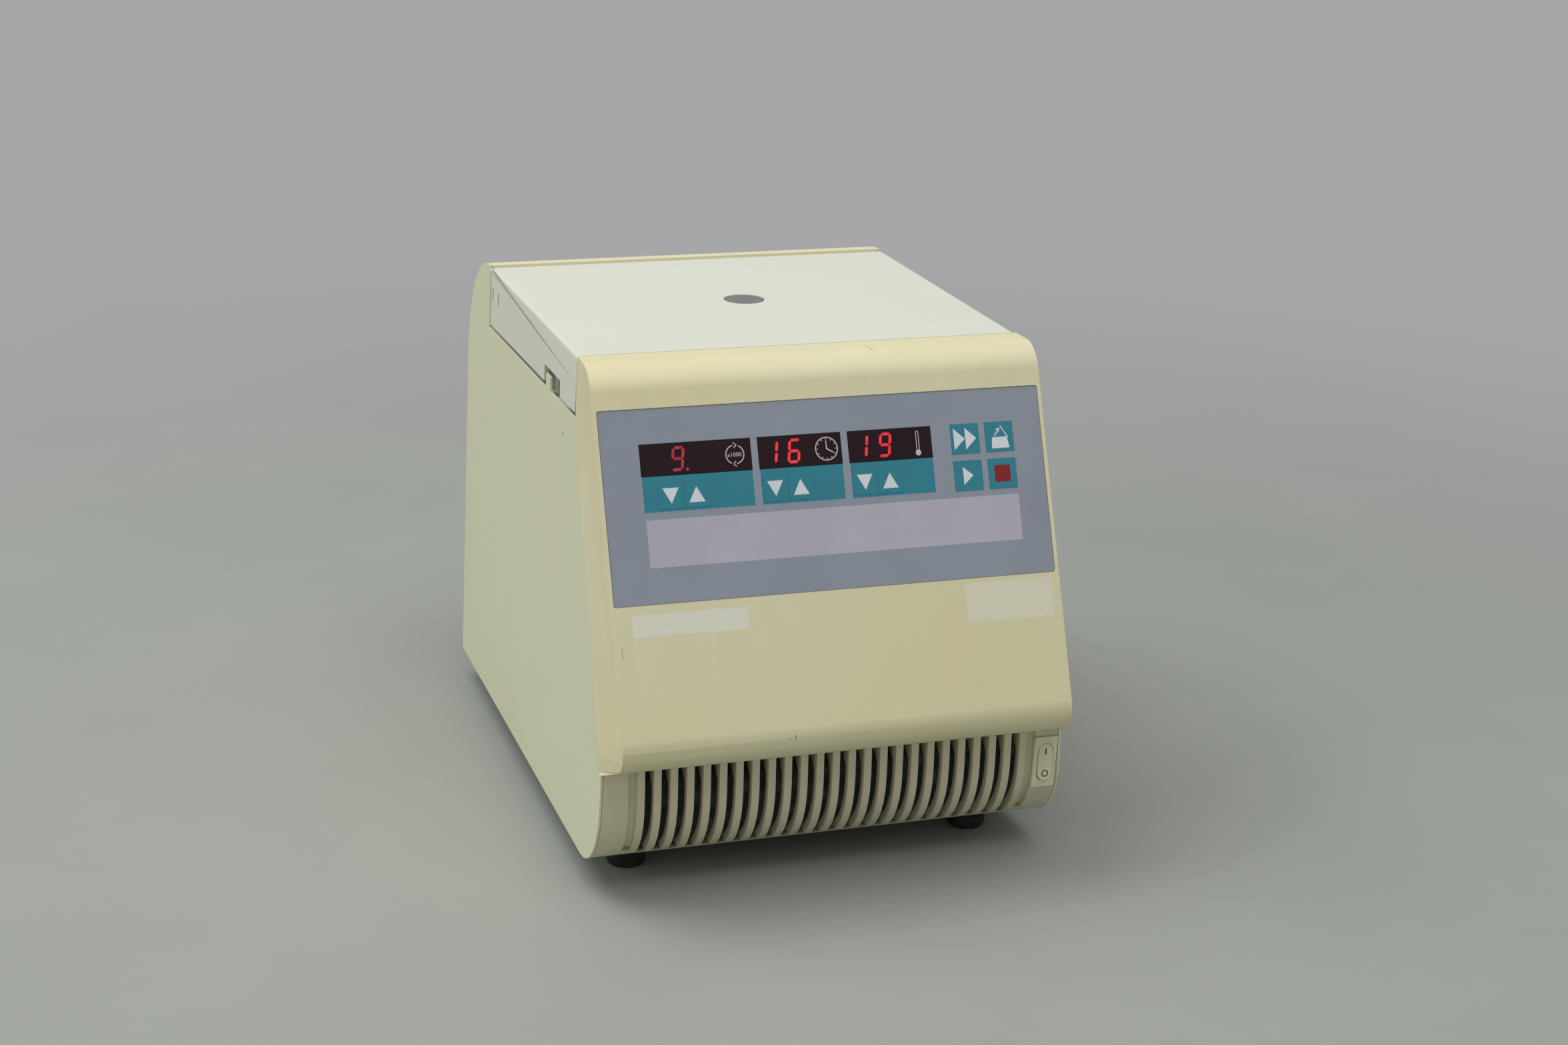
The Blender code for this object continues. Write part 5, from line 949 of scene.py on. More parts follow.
@dataclass
class SevenSegment:
    """One slanted seven-segment digit."""

    height: float = 14.6 * MM
    width: float = 7.8 * MM
    stroke: float = 1.7 * MM
    slant: float = math.radians(8.0)
    gap: float = 0.22 * MM
    lit: dict[str, str] = field(default_factory=lambda: {"1": "bc", "6": "afgedc", "9": "abcdfg"})

    def loops(self, digit: str, left: float, bottom: float) -> list[Loop]:
        """Outlines of a digit's lit segments.

        Args:
            digit: the digit.
            left: across place of its lower left corner.
            bottom: up place of its lower left corner.

        Returns:
            One outline for each lit segment.
        """
        half, lean = self.stroke / 2, math.tan(self.slant)
        near, far = half, self.width - half
        low, middle, high = half, self.height / 2, self.height - half
        ends = {
            "a": ((near, high), (far, high)),
            "b": ((far, middle), (far, high)),
            "c": ((far, low), (far, middle)),
            "d": ((near, low), (far, low)),
            "e": ((near, low), (near, middle)),
            "f": ((near, middle), (near, high)),
            "g": ((near, middle), (far, middle)),
        }
        made = []
        for segment in self.lit[digit]:
            start, end = (Vector(point) for point in ends[segment])
            run = (end - start).normalized()
            side = Vector((-run.y, run.x)) * half
            first, last = start + run * self.gap, end - run * self.gap
            shape = [first, first + run * half + side, last - run * half + side, last,
                     last - run * half - side, first + run * half - side]
            made.append([(left + p.x + p.y * lean, bottom + p.y) for p in shape])
        return made


@dataclass
class OperatingPanel:
    """Printed film, windows, keys and lit digits of the sloped face."""

    frame: Frame
    sunk: float = 0.4 * MM
    ink: float = 0.03 * MM
    key_proud: float = 0.2 * MM
    row_top: float = 20.8 * MM
    row_middle: float = 39.3 * MM
    row_bottom: float = 60.4 * MM
    windows: tuple[Point, ...] = ((-114.0 * MM, -47.0 * MM), (-42.3 * MM, 8.9 * MM), (13.6 * MM, 66.0 * MM))
    strip: tuple[float, ...] = (-113.7 * MM, 118.8 * MM, 64.8 * MM, 92.6 * MM)
    arrow_side: float = 14.4 * MM
    arrow_top: float = 44.2 * MM
    arrow_centres: tuple[float, ...] = (-97.5 * MM, -82.0 * MM, -33.9 * MM, -18.2 * MM, 21.9 * MM, 37.7 * MM)
    key_side: float = 17.6 * MM
    key_columns: Point = (78.9 * MM, 101.0 * MM)
    key_rows: Point = (20.8 * MM, 43.1 * MM)
    seam: float = 0.3 * MM
    key_gap: float = 0.05 * MM
    line: float = 0.6 * MM
    head: float = 1.9 * MM
    turn_middle: Point = (-56.8 * MM, -29.8 * MM)
    turn_radius: float = 5.5 * MM
    factor_size: float = 3.5 * MM
    factor_width: float = 9.3 * MM
    clock_middle: Point = (-0.2 * MM, -30.0 * MM)
    clock_radius: float = 6.8 * MM
    tube_across: float = 57.3 * MM
    tube_top: float = -22.9 * MM
    tube_half: float = 1.0 * MM
    bulb_up: float = -36.0 * MM
    bulb_radius: float = 1.75 * MM
    digit_foot: float = -37.3 * MM
    bright_digits: tuple[tuple[str, float], ...] = (("1", -39.2 * MM), ("6", -25.2 * MM), ("1", 17.0 * MM),
                                                    ("9", 31.6 * MM))
    dim_digit: tuple[str, float] = ("9", -96.4 * MM)
    dot_across: float = -86.2 * MM
    dot_share: float = 0.55
    turn_starts: Point = (100.0, 280.0)
    turn_sweep: float = 145.0
    turn_lead: float = 4.0
    head_spread_share: float = 0.85
    head_line_share: float = 0.8
    tick_shares: Point = (0.80, 0.9)
    hand_shares: tuple[float, ...] = (0.72, 0.62, 0.36)
    tube_line_share: float = 0.7
    crown_steps: int = 8
    icons: KeyIcons = field(default_factory=KeyIcons)

    def arrow_names(self) -> list[str]:
        """Nodes of the six arrow keys, left to right."""
        ways = ("down", "up")
        return ["key_%s_%s" % (what, way) for what in ("speed", "time", "temperature") for way in ways]

    def build(self) -> None:
        """Dress the film, the windows, the keys and everything printed or lit."""
        self.frame.dress("membrane_panel", Finish.PANEL, 0.0)
        for name in ("speed", "time", "temperature"):
            self.frame.dress("window_" + name, Finish.WINDOW, 0.0)
        self.print_fields()
        self.print_window_icons()
        self.light_digits()
        for index, (name, centre) in enumerate(zip(self.arrow_names(), self.arrow_centres)):
            middle = (centre, -self.arrow_top - self.arrow_side / 2)
            self.build_key(name, middle, Icon.UP if index % 2 else Icon.DOWN)
        names = ((("key_short_spin", Icon.FAST), ("key_lid", Icon.LID)),
                 (("key_start", Icon.START), ("key_stop", Icon.STOP)))
        for row, keys in zip(self.key_rows, names):
            for left, (name, icon) in zip(self.key_columns, keys):
                self.build_key(name, (left + self.key_side / 2, -row - self.key_side / 2), icon)

    def print_fields(self) -> None:
        """Print the blue-green fields under the windows and the plain pale strip."""
        place = FACE.matrix(-self.sunk)
        fields = [box_loop(left, right, self.row_middle + self.seam, self.row_bottom)
                  for left, right in self.windows]
        for centre in self.arrow_centres:
            half = self.arrow_side / 2 + self.seam
            fields.append(box_loop(centre - half, centre + half, self.arrow_top - self.seam,
                                   self.arrow_top + self.arrow_side + self.seam))
        register(plate("panel_fields", fields, place, self.ink), "housing", Finish.TEAL, "key_film")
        strip = [box_loop(*self.strip)]
        register(plate("panel_strip", strip, place, self.ink), "housing", Finish.STRIP, "panel_film")

    def print_window_icons(self) -> None:
        """Print the turning arrows, the clock and the thermometer beside the digits."""
        loops = self.turning_arrows() + self.clock() + self.thermometer()
        register(plate("window_icons", loops, FACE.matrix(-self.sunk), self.ink), "housing", Finish.ICON,
                 "key_film")
        bulb = round_loop((self.tube_across, self.bulb_up), self.bulb_radius, 24)
        register(plate("window_bulb", [bulb], FACE.matrix(-self.sunk + self.ink), self.ink), "housing",
                 Finish.ICON, "key_film")
        corner = (self.turn_middle[0] - self.factor_width / 2, self.turn_middle[1] - self.factor_size * 0.36)
        self.print_text("speed_factor", "x1000", corner, self.factor_size)

    def turning_arrows(self) -> list[Loop]:
        """Outlines of two arcs round the speed's factor, each with an open arrowhead.

        Returns:
            The outlines.
        """
        loops = []
        middle = Vector(self.turn_middle)
        for start in self.turn_starts:
            loops.append(arc_loop(self.turn_middle, self.turn_radius, self.line, start,
                                  start + self.turn_sweep))
            tip = math.radians(start - self.turn_lead)
            base = middle + Vector((math.cos(tip), math.sin(tip))) * self.turn_radius
            ahead = Vector((math.sin(tip), -math.cos(tip))) * self.head
            out = Vector((math.cos(tip), math.sin(tip))) * self.head * self.head_spread_share
            point, far, near = tuple(base + ahead), tuple(base + out), tuple(base - out)
            width = self.line * self.head_line_share
            loops += [bar_loop(point, far, width), bar_loop(near, point, width)]
        return loops

    def clock(self) -> list[Loop]:
        """Outlines of a clock with its ticks and hands.

        Returns:
            The outlines.
        """
        across, up = self.clock_middle
        face, half = self.clock_radius, self.line / 2
        loops = [round_loop(self.clock_middle, face + half), round_loop(self.clock_middle, face - half)]
        middle = Vector(self.clock_middle)
        inner, outer = self.tick_shares
        for hour in range(12):
            way = Vector((math.cos(hour * math.pi / 6), math.sin(hour * math.pi / 6))) * face
            loops.append(bar_loop(tuple(middle + way * inner), tuple(middle + way * outer), self.line))
        rise, run, fall = (face * share for share in self.hand_shares)
        loops.append(bar_loop((across, up - half), (across, up + rise), self.line))
        loops.append(bar_loop((across + half, up), (across + run, up - fall), self.line))
        return loops

    def thermometer(self) -> list[Loop]:
        """Outlines of a thermometer's tube, with a round top and a thread of liquid.

        Returns:
            The outlines.
        """
        middle, top, bottom = self.tube_across, self.tube_top, self.bulb_up
        loops = []
        for half in (self.tube_half, self.tube_half - self.line * self.tube_line_share):
            angles = [math.pi * i / self.crown_steps for i in range(self.crown_steps + 1)]
            crown = [(middle + half * math.cos(angle), top - self.tube_half + half * math.sin(angle))
                     for angle in angles]
            foot = bottom if half == self.tube_half else bottom + self.bulb_radius
            loops.append(crown + [(middle - half, foot), (middle + half, foot)])
        return loops

    def print_text(self, name: str, words: str, corner: Point, size: float) -> None:
        """Print a plain number on a window.

        Args:
            name: the piece's name.
            words: what is printed.
            corner: lower left corner on the face.
            size: size of the letters.
        """
        curve = bpy.data.curves.new(name, "FONT")
        curve.body = words
        curve.size = size
        curve.extrude = self.ink / 2
        curve.resolution_u = 3
        item = bpy.data.objects.new(name, curve)
        bpy.context.scene.collection.objects.link(item)
        item.matrix_world = FACE.matrix(-self.sunk + self.ink / 2) @ Matrix.Translation((*corner, 0.0))
        made = settle(item, name)
        weld(made.data)
        register(made, "housing", Finish.ICON, "key_film")

    def light_digits(self) -> None:
        """Light the three readings."""
        place = FACE.matrix(-self.sunk)
        digit = SevenSegment()
        foot = self.digit_foot
        bright = []
        for figure, left in self.bright_digits:
            bright += digit.loops(figure, left, foot)
        register(plate("lit_digits", bright, place, self.ink), "housing", Finish.DIGIT, "window_film")
        dot = round_loop((self.dot_across, foot + digit.stroke / 2), digit.stroke * self.dot_share, 16)
        dim = [*digit.loops(*self.dim_digit, foot), dot]
        register(plate("dim_digit", dim, place, self.ink), "housing", Finish.DIM_DIGIT, "window_film")

    def build_key(self, node: str, middle: Point, icon: Icon) -> None:
        """Dress a key and print its icon on it.

        Args:
            node: the key's node.
            middle: middle of the key on the face.
            icon: what is printed on it.
        """
        side = self.arrow_side if icon in (Icon.DOWN, Icon.UP) else self.key_side
        spread = (side + 2.0 * (self.seam - self.key_gap)) / side
        skin = self.frame.dress(node, Finish.TEAL, 0.0)
        about = FACE.matrix() @ Matrix.Translation((*middle, 0.0))
        skin.data.transform(about @ Matrix.Diagonal((spread, spread, 1.0, 1.0)) @ about.inverted())
        place = FACE.matrix(self.key_proud - self.sunk)
        finish = Finish.RED_KEY if icon is Icon.STOP else Finish.WHITE
        piece = plate(node + "_print", self.icons.loops(icon, middle), place, self.ink)
        register(piece, self.frame.body_of(node), finish, "key_film")


@dataclass
class Tree:
    """A geometry tree built in the script, with its named inputs."""

    name: str

    def __post_init__(self) -> None:
        """Start the tree with its two ends."""
        self.group = bpy.data.node_groups.new(self.name, "GeometryNodeTree")
        self.group.interface.new_socket("Geometry", in_out="INPUT", socket_type="NodeSocketGeometry")
        self.group.interface.new_socket("Geometry", in_out="OUTPUT", socket_type="NodeSocketGeometry")
        self.inputs = self.group.nodes.new("NodeGroupInput")
        self.outputs = self.group.nodes.new("NodeGroupOutput")

    def size(self, name: str, kind: str = "NodeSocketFloat") -> str:
        """Add a named input and return its identifier."""
        return self.group.interface.new_socket(name, in_out="INPUT", socket_type=kind).identifier

    def add(self, kind: str, settings: dict | None = None, inputs: dict | None = None) -> bpy.types.Node:
        """Add a node with its settings, and values or links for its sockets.

        Args:
            kind: the node's type.
            settings: its properties, set first.
            inputs: values or output sockets by input name or number.

        Returns:
            The node.
        """
        made = self.group.nodes.new(kind)
        for name, value in (settings or {}).items():
            setattr(made, name, value)
        for key, value in (inputs or {}).items():
            if isinstance(value, bpy.types.NodeSocket):
                self.group.links.new(value, made.inputs[key])
            else:
                made.inputs[key].default_value = value
        return made

    def finish(self, geometry: bpy.types.NodeSocket, material: bpy.types.Material) -> None:
        """End the tree in Realize Instances and Set Material.

        Args:
            geometry: the socket of what the tree made.
            material: its material.
        """
        real = self.add("GeometryNodeRealizeInstances", None, {0: geometry})
        dressed = self.add("GeometryNodeSetMaterial", None,
                           {"Geometry": real.outputs[0], "Material": material})
        self.group.links.new(dressed.outputs[0], self.outputs.inputs[0])

    def apply(self, item: bpy.types.Object, values: dict[str, object], name: str) -> bpy.types.Object:
        """Run the tree on an object and keep the result as a plain mesh.

        Args:
            item: the object that the tree reads.
            values: the inputs by identifier.
            name: the new piece's name.

        Returns:
            The piece.
        """
        step = item.modifiers.new(self.name, "NODES")
        step.node_group = self.group
        for identifier, value in values.items():
            step[identifier] = value
        return settle(item, name)


@dataclass
class ScrewHeads:
    """Pan-head screws with a cross recess, one on each seat, made by a geometry tree."""

    radius: float = 2.9 * MM
    height: float = 1.2 * MM
    slot: float = 0.75 * MM
    taper: float = 0.72
    sides: int = 20
    overreach: float = 1.1

    def tree(self) -> tuple[Tree, dict[str, object]]:
        """Build the tree that puts a head on each vertex, along its facing attribute.

        Returns:
            The tree, and the values of its inputs by identifier.
        """
        tree = Tree("screw_heads")
        values = {tree.size("Head radius"): self.radius, tree.size("Head height"): self.height,
                  tree.size("Slot width"): self.slot}
        points, radius, height, slot = (tree.inputs.outputs[i] for i in range(4))
        top = tree.add("ShaderNodeMath", {"operation": "MULTIPLY"}, {0: radius, 1: self.taper}).outputs[0]
        head = tree.add("GeometryNodeMeshCone", {"fill_type": "NGON"},
                        {"Vertices": self.sides, "Radius Top": top, "Radius Bottom": radius, "Depth": height})
        reach = tree.add("ShaderNodeMath", {"operation": "MULTIPLY"},
                         {0: radius, 1: self.overreach}).outputs[0]
        bars = []
        for first, second in ((reach, slot), (slot, reach)):
            size = tree.add("ShaderNodeCombineXYZ", None, {0: first, 1: second, 2: height}).outputs[0]
            bar = tree.add("GeometryNodeMeshCube", None, {"Size": size}).outputs[0]
            lift = tree.add("ShaderNodeCombineXYZ", None, {2: height}).outputs[0]
            bars.append(tree.add("GeometryNodeTransform", None,
                                 {"Geometry": bar, "Translation": lift}).outputs[0])
        cross = tree.add("GeometryNodeMeshBoolean", {"operation": "UNION", "solver": "EXACT"}, {1: bars[0]})
        tree.group.links.new(bars[1], cross.inputs[1])
        cut = tree.add("GeometryNodeMeshBoolean", {"operation": "DIFFERENCE", "solver": "EXACT"},
                       {0: head.outputs[0], 1: cross.outputs[0]})
        facing = tree.add("GeometryNodeInputNamedAttribute", {"data_type": "FLOAT_VECTOR"},
                          {"Name": "facing"})
        turn = tree.add("FunctionNodeAlignRotationToVector", {"axis": "Z"}, {"Vector": facing.outputs[0]})
        placed = tree.add("GeometryNodeInstanceOnPoints", None,
                          {"Points": points, "Instance": cut.outputs[0], "Rotation": turn.outputs[0]})
        tree.finish(placed.outputs[0], Finish.SCREW.material())
        return tree, values

    def build(self, name: str, seats: list[Seat], body: str, slot: str) -> bpy.types.Object:
        """Make the heads of one body.

        Args:
            name: the piece's name.
            seats: where the heads sit.
            body: the body that they ride on.
            slot: the record's material slot.

        Returns:
            The piece.
        """
        mesh = bpy.data.meshes.new(name)
        mesh.from_pydata([seat.place for seat in seats], [], [])
        facing = mesh.attributes.new("facing", "FLOAT_VECTOR", "POINT")
        for entry, seat in zip(facing.data, seats):
            entry.vector = seat.facing
        item = bpy.data.objects.new(name, mesh)
        bpy.context.scene.collection.objects.link(item)
        tree, values = self.tree()
        return register(tree.apply(item, values, name), body, Finish.SCREW, slot)


@dataclass
class FilterWeave:
    """Woven dust filter behind the slots: upright wires that follow the grille, and level ones."""

    frame: Frame
    pitch: float = 1.0 * MM
    wire: float = 0.17 * MM
    sides: int = 4
    proud: float = 0.1 * MM
    lip_set_back: float = 6.3 * MM
    lip_drop: float = 12.0 * MM
    face_drop: float = 18.0 * MM
    curve_drop: float = 24.0 * MM
    curve_depth: float = 35.7 * MM
    curve_height: float = 43.7 * MM
    curve_steps: int = 8

    def profile(self) -> list[Vector]:
        """World points down the front of the filter, on the middle plane.

        Returns:
            The points, top to bottom.
        """
        low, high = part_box("filter_mesh")
        front, top = low[1] - self.proud, high[2]
        path = [(front + self.lip_set_back, top), (front + self.lip_set_back, top - self.lip_drop),
                (front, top - self.face_drop)]
        for step in range(self.curve_steps):
            angle = math.pi / 2 * step / self.curve_steps
            path.append((low[1] + self.curve_depth - (self.curve_depth + self.proud) * math.cos(angle),
                         top - self.curve_drop - self.curve_height * math.sin(angle)))
        return [Vector((0.0, away, up)) for away, up in path]

    def tree(self, width: float) -> tuple[Tree, dict[str, object]]:
        """Build the tree that weaves the wires along a profile.

        Args:
            width: how far the level wires reach across.

        Returns:
            The tree, and the values of its inputs by identifier.
        """
        tree = Tree("filter_weave")
        values = {tree.size("Wire radius"): self.wire, tree.size("Pitch"): self.pitch,
                  tree.size("Width"): width}
        profile, wire, pitch, wide = (tree.inputs.outputs[i] for i in range(4))
        path = tree.add("GeometryNodeMeshToCurve", None, {"Mesh": profile}).outputs[0]
        ring = tree.add("GeometryNodeCurvePrimitiveCircle", None,
                        {"Resolution": self.sides, "Radius": wire}).outputs[0]
        half = tree.add("ShaderNodeMath", {"operation": "MULTIPLY"}, {0: wide, 1: 0.5}).outputs[0]
        minus = tree.add("ShaderNodeMath", {"operation": "MULTIPLY"}, {0: wide, 1: -0.5}).outputs[0]
        left = tree.add("ShaderNodeCombineXYZ", None, {0: minus}).outputs[0]
        right = tree.add("ShaderNodeCombineXYZ", None, {0: half}).outputs[0]
        count = tree.add("ShaderNodeMath", {"operation": "DIVIDE"}, {0: wide, 1: pitch}).outputs[0]
        step = tree.add("ShaderNodeCombineXYZ", None, {0: pitch}).outputs[0]
        row = tree.add("GeometryNodeMeshLine", {"mode": "OFFSET"},
                       {"Count": count, "Start Location": left, "Offset": step}).outputs[0]
        uprights = tree.add("GeometryNodeInstanceOnPoints", None,
                            {"Points": row, "Instance": path}).outputs[0]
        bar = tree.add("GeometryNodeCurvePrimitiveLine", None, {"Start": left, "End": right}).outputs[0]
        stops = tree.add("GeometryNodeResampleCurve", {"mode": "LENGTH"},
                         {"Curve": path, "Length": pitch}).outputs[0]
        levels = tree.add("GeometryNodeInstanceOnPoints", None, {"Points": stops, "Instance": bar}).outputs[0]
        joined = tree.add("GeometryNodeJoinGeometry", None, {0: uprights})
        tree.group.links.new(levels, joined.inputs[0])
        real = tree.add("GeometryNodeRealizeInstances", None, {0: joined.outputs[0]}).outputs[0]
        tubes = tree.add("GeometryNodeCurveToMesh", None,
                         {"Curve": real, "Profile Curve": ring, "Fill Caps": True}).outputs[0]
        tree.finish(tubes, Finish.WIRE.material())
        return tree, values

    def build(self) -> bpy.types.Object:
        """Weave the wires over the filter.

        Returns:
            The piece.
        """
        points = self.profile()
        mesh = bpy.data.meshes.new("filter_path")
        mesh.from_pydata(points, [(i, i + 1) for i in range(len(points) - 1)], [])
        item = bpy.data.objects.new("filter_path", mesh)
        bpy.context.scene.collection.objects.link(item)
        low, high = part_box("filter_mesh")
        tree, values = self.tree(high[0] - low[0] - 2.0 * self.pitch)
        body, slot = self.frame.body_of("filter_mesh"), self.frame.slot_of("filter_mesh")
        return register(tree.apply(item, values, "filter_weave"), body, Finish.WIRE, slot)


@dataclass
class Housing:
    """Side panels, rear cover, base tray and feet, with the screws that hold them."""

    frame: Frame
    screw: ScrewHeads = field(default_factory=ScrewHeads)
    cover_across: float = 128.0 * MM
    cover_heights: tuple[float, ...] = (38.0 * MM, 130.0 * MM, 215.0 * MM)
    sink_radius: float = 3.4 * MM
    sink_depth: float = 1.3 * MM
    tray_across: float = 134.0 * MM
    tray_places: tuple[float, ...] = (-105.0 * MM, 0.0, 90.0 * MM, 195.0 * MM)
    start: float = 50.0 * MM

    def build(self) -> None:
        """Dress the housing's pieces."""
        for node in ("side_panel_left", "side_panel_right"):
            self.frame.dress(node, Finish.SIDE)
        self.build_cover()
        self.frame.dress("base_tray", Finish.STEEL)
        for node in ("foot_front_left", "foot_front_right", "foot_rear_left", "foot_rear_right"):
            self.frame.dress(node, Finish.RUBBER)
        tray = self.frame.node("base_tray")
        seats = [seat_on(tray, Vector((side * self.tray_across, away, -self.start)), Vector((0.0, 0.0, 1.0)))
                 for side in (-1, 1) for away in self.tray_places]
        self.screw.build("tray_screws", seats, "housing", self.frame.slot_of("base_tray"))

    def build_cover(self) -> None:
        """Dress the rear cover, and sink its screws so that they lie flush with it."""
        cover = self.frame.node("rear_cover")
        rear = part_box("rear_cover")[1][1]
        seats = [seat_on(cover, Vector((side * self.cover_across, rear + self.start, up)),
                         Vector((0.0, -1.0, 0.0)))
                 for side in (-1, 1) for up in self.cover_heights]
        skin = self.frame.dress("rear_cover", Finish.REAR)
        cutter = bmesh.new()
        for seat in seats:
            turn = seat.facing.to_track_quat("Z", "Y").to_matrix().to_4x4()
            bmesh.ops.create_cone(cutter, cap_ends=True, segments=self.screw.sides, radius1=self.sink_radius,
                                  radius2=self.sink_radius, depth=self.sink_depth * 2.0,
                                  matrix=Matrix.Translation(seat.place) @ turn)
        mesh = bpy.data.meshes.new("cover_sinks")
        cutter.to_mesh(mesh)
        cutter.free()
        tool = bpy.data.objects.new("cover_sinks", mesh)
        bpy.context.scene.collection.objects.link(tool)
        step = skin.modifiers.new("sinks", "BOOLEAN")
        step.operation = "DIFFERENCE"
        step.object = tool
        cut_mesh = evaluated(skin)
        skin.modifiers.clear()
        skin.data = cut_mesh
        bpy.data.objects.remove(tool, do_unlink=True)
        sunk = [Seat(seat.place - seat.facing * self.sink_depth, seat.facing) for seat in seats]
        self.screw.build("cover_screws", sunk, "housing", self.frame.slot_of("rear_cover"))


@dataclass
class FrontEnd:
    """Front moulding, and the grille under it with its filter."""

    frame: Frame
    grille_edge: float = 0.25 * MM

    def build(self) -> None:
        """Dress the front."""
        self.frame.dress("front_moulding", Finish.FRONT, 0.5 * MM, 3)
        self.frame.dress("grille", Finish.GRILLE, self.grille_edge)
        self.frame.dress("filter_mesh", Finish.FILTER, 0.0)
        FilterWeave(self.frame).build()


@dataclass
class MainsSwitch:
    """Cream mains switch at the grille's right end, its rocker marked I and O."""

    frame: Frame
    across: float = 136.6 * MM
    away: float = -187.85 * MM
    up: float = 67.0 * MM
    tilt: float = math.radians(5.0)
    rest: float = math.radians(5.0)
    thickness: float = 4.6 * MM
    proud: float = 0.9 * MM
    ink: float = 0.03 * MM
    bar: Point = (0.95 * MM, 4.0 * MM)
    bar_up: float = 7.1 * MM
    ring_radius: float = 1.95 * MM
    ring_line: float = 0.7 * MM
    ring_up: float = -7.6 * MM

    def rocker_face(self) -> Matrix:
        """Frame on the front of the rocker at rest, X across, Y up, Z out.

        Returns:
            The frame's matrix.
        """
        upward = Vector((0.0, -math.sin(self.tilt), math.cos(self.tilt)))
        out = Vector((0.0, -math.cos(self.tilt), -math.sin(self.tilt)))
        turn = Matrix((Vector((1.0, 0.0, 0.0)), upward, out)).transposed().to_4x4()
        base = Matrix.Translation((self.across, self.away, self.up)) @ turn
        rock = Matrix.Rotation(-self.rest, 4, "X")
        middle = Matrix.Translation((0.0, 0.0, -self.thickness / 2))
        return base @ middle @ rock @ middle.inverted() @ Matrix.Translation((0.0, 0.0, self.proud))

    def build(self) -> None:
        """Dress the switch and print its marks."""
        self.frame.dress("switch_body", Finish.SWITCH, 0.35 * MM)
        self.frame.dress("switch_rocker", Finish.SWITCH, 0.5 * MM, 3)
        half, tall = self.bar[0] / 2, self.bar[1] / 2
        on = box_loop(-half, half, -self.bar_up - tall, -self.bar_up + tall)
        middle = (0.0, self.ring_up)
        off = [round_loop(middle, self.ring_radius + self.ring_line / 2),
               round_loop(middle, self.ring_radius - self.ring_line / 2)]
        marks = plate("rocker_marks", [on, *off], self.rocker_face(), self.ink)
        register(marks, self.frame.body_of("switch_rocker"), Finish.MARK, self.frame.slot_of("switch_rocker"))


@dataclass
class Lid:
    """Lid shell with its liner, foam, gasket and sight glass."""

    frame: Frame
    screw: ScrewHeads = field(default_factory=lambda: ScrewHeads(radius=2.6 * MM, height=1.0 * MM))
    screw_across: float = 117.0 * MM
    screw_places: tuple[float, ...] = (-72.0 * MM, 5.0 * MM, 92.0 * MM)

    def build(self) -> None:
        """Dress the lid's pieces and screw the liner on."""
        self.frame.dress("lid_shell", Finish.LID, 0.6 * MM, 3)
        self.frame.dress("lid_liner", Finish.LID)
        self.frame.dress("lid_foam", Finish.FOAM)
        self.frame.dress("lid_gasket", Finish.RUBBER, 0.5 * MM)
        self.frame.dress("sight_glass", Finish.GLASS, 0.25 * MM)
        liner = self.frame.node("lid_liner")
        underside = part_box("lid_liner")[0][2]
        seats = [seat_on(liner, Vector((side * self.screw_across, away, underside)), Vector((0.0, 0.0, 1.0)))
                 for side in (-1, 1) for away in self.screw_places]
        self.screw.build("liner_screws", seats, self.frame.body_of("lid_liner"),
                         self.frame.slot_of("hinge_shaft"))


@dataclass
class Deck:
    """Deck round the chamber's mouth, held by screws at its corners."""

    frame: Frame
    screw: ScrewHeads = field(default_factory=ScrewHeads)
    across: float = 122.0 * MM
    places: tuple[float, ...] = (-58.0 * MM, 104.0 * MM)

    def build(self) -> None:
        """Dress the deck and drive its screws."""
        self.frame.dress("deck", Finish.LID, 0.4 * MM)
        deck = self.frame.node("deck")
        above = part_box("deck")[1][2] + MM
        seats = [seat_on(deck, Vector((side * self.across, away, above)), Vector((0.0, 0.0, -1.0)))
                 for side in (-1, 1) for away in self.places]
        self.screw.build("deck_screws", seats, "housing", self.frame.slot_of("hinge_shaft"))


@dataclass
class Works:
    """A group of inner pieces that take a finish each and keep their shape."""

    frame: Frame
    title: str
    finishes: dict[str, Finish]
    edge: float = 0.3 * MM

    def build(self) -> None:
        """Dress the group's pieces."""
        LOG.info("dressing the %s", self.title)
        for node, finish in self.finishes.items():
            self.frame.dress(node, finish, self.edge)


def inner_works(frame: Frame) -> list[Works]:
    """The groups of pieces under the lid and inside the housing.

    Args:
        frame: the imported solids.

    Returns:
        Hinge, lock, chamber, rotor, drive, cooling and electronics.
    """
    steel, rubber, alloy = Finish.STEEL, Finish.RUBBER, Finish.ALUMINIUM
    dampers = {"motor_damper_%d" % number: rubber for number in (1, 2, 3)}
    return [
        Works(frame, "hinge", {"hinge_shaft": steel, "hinge_bracket_left": steel,
                               "hinge_bracket_right": steel, "lid_arm_left": steel,
                               "lid_arm_right": steel}),
        Works(frame, "lid spring", {"lid_spring": steel}, 0.1 * MM),
        Works(frame, "lock", {"lock_bar": steel, "lock_motor": Finish.BLACK}),
        Works(frame, "chamber", {"chamber_bowl": Finish.STAINLESS, "chamber_foam": Finish.FOAM,
                                 "evaporator_coil": Finish.COPPER}),
        Works(frame, "rotor", {"rotor": alloy, "rotor_lid": alloy, "rotor_knob": Finish.BLACK}),
        Works(frame, "drive", {"motor": steel, "motor_plate": alloy, "drive_shaft": steel, **dampers}),
        Works(frame, "cooling", {"compressor": Finish.ENAMEL, "condenser": alloy, "fan_blades": Finish.BLACK,
                                 "refrigerant_pipe": Finish.COPPER}),
        Works(frame, "electronics", {"display_board": Finish.BOARD, "control_board": Finish.BOARD,
                                     "power_inlet": Finish.BLACK}),
    ]


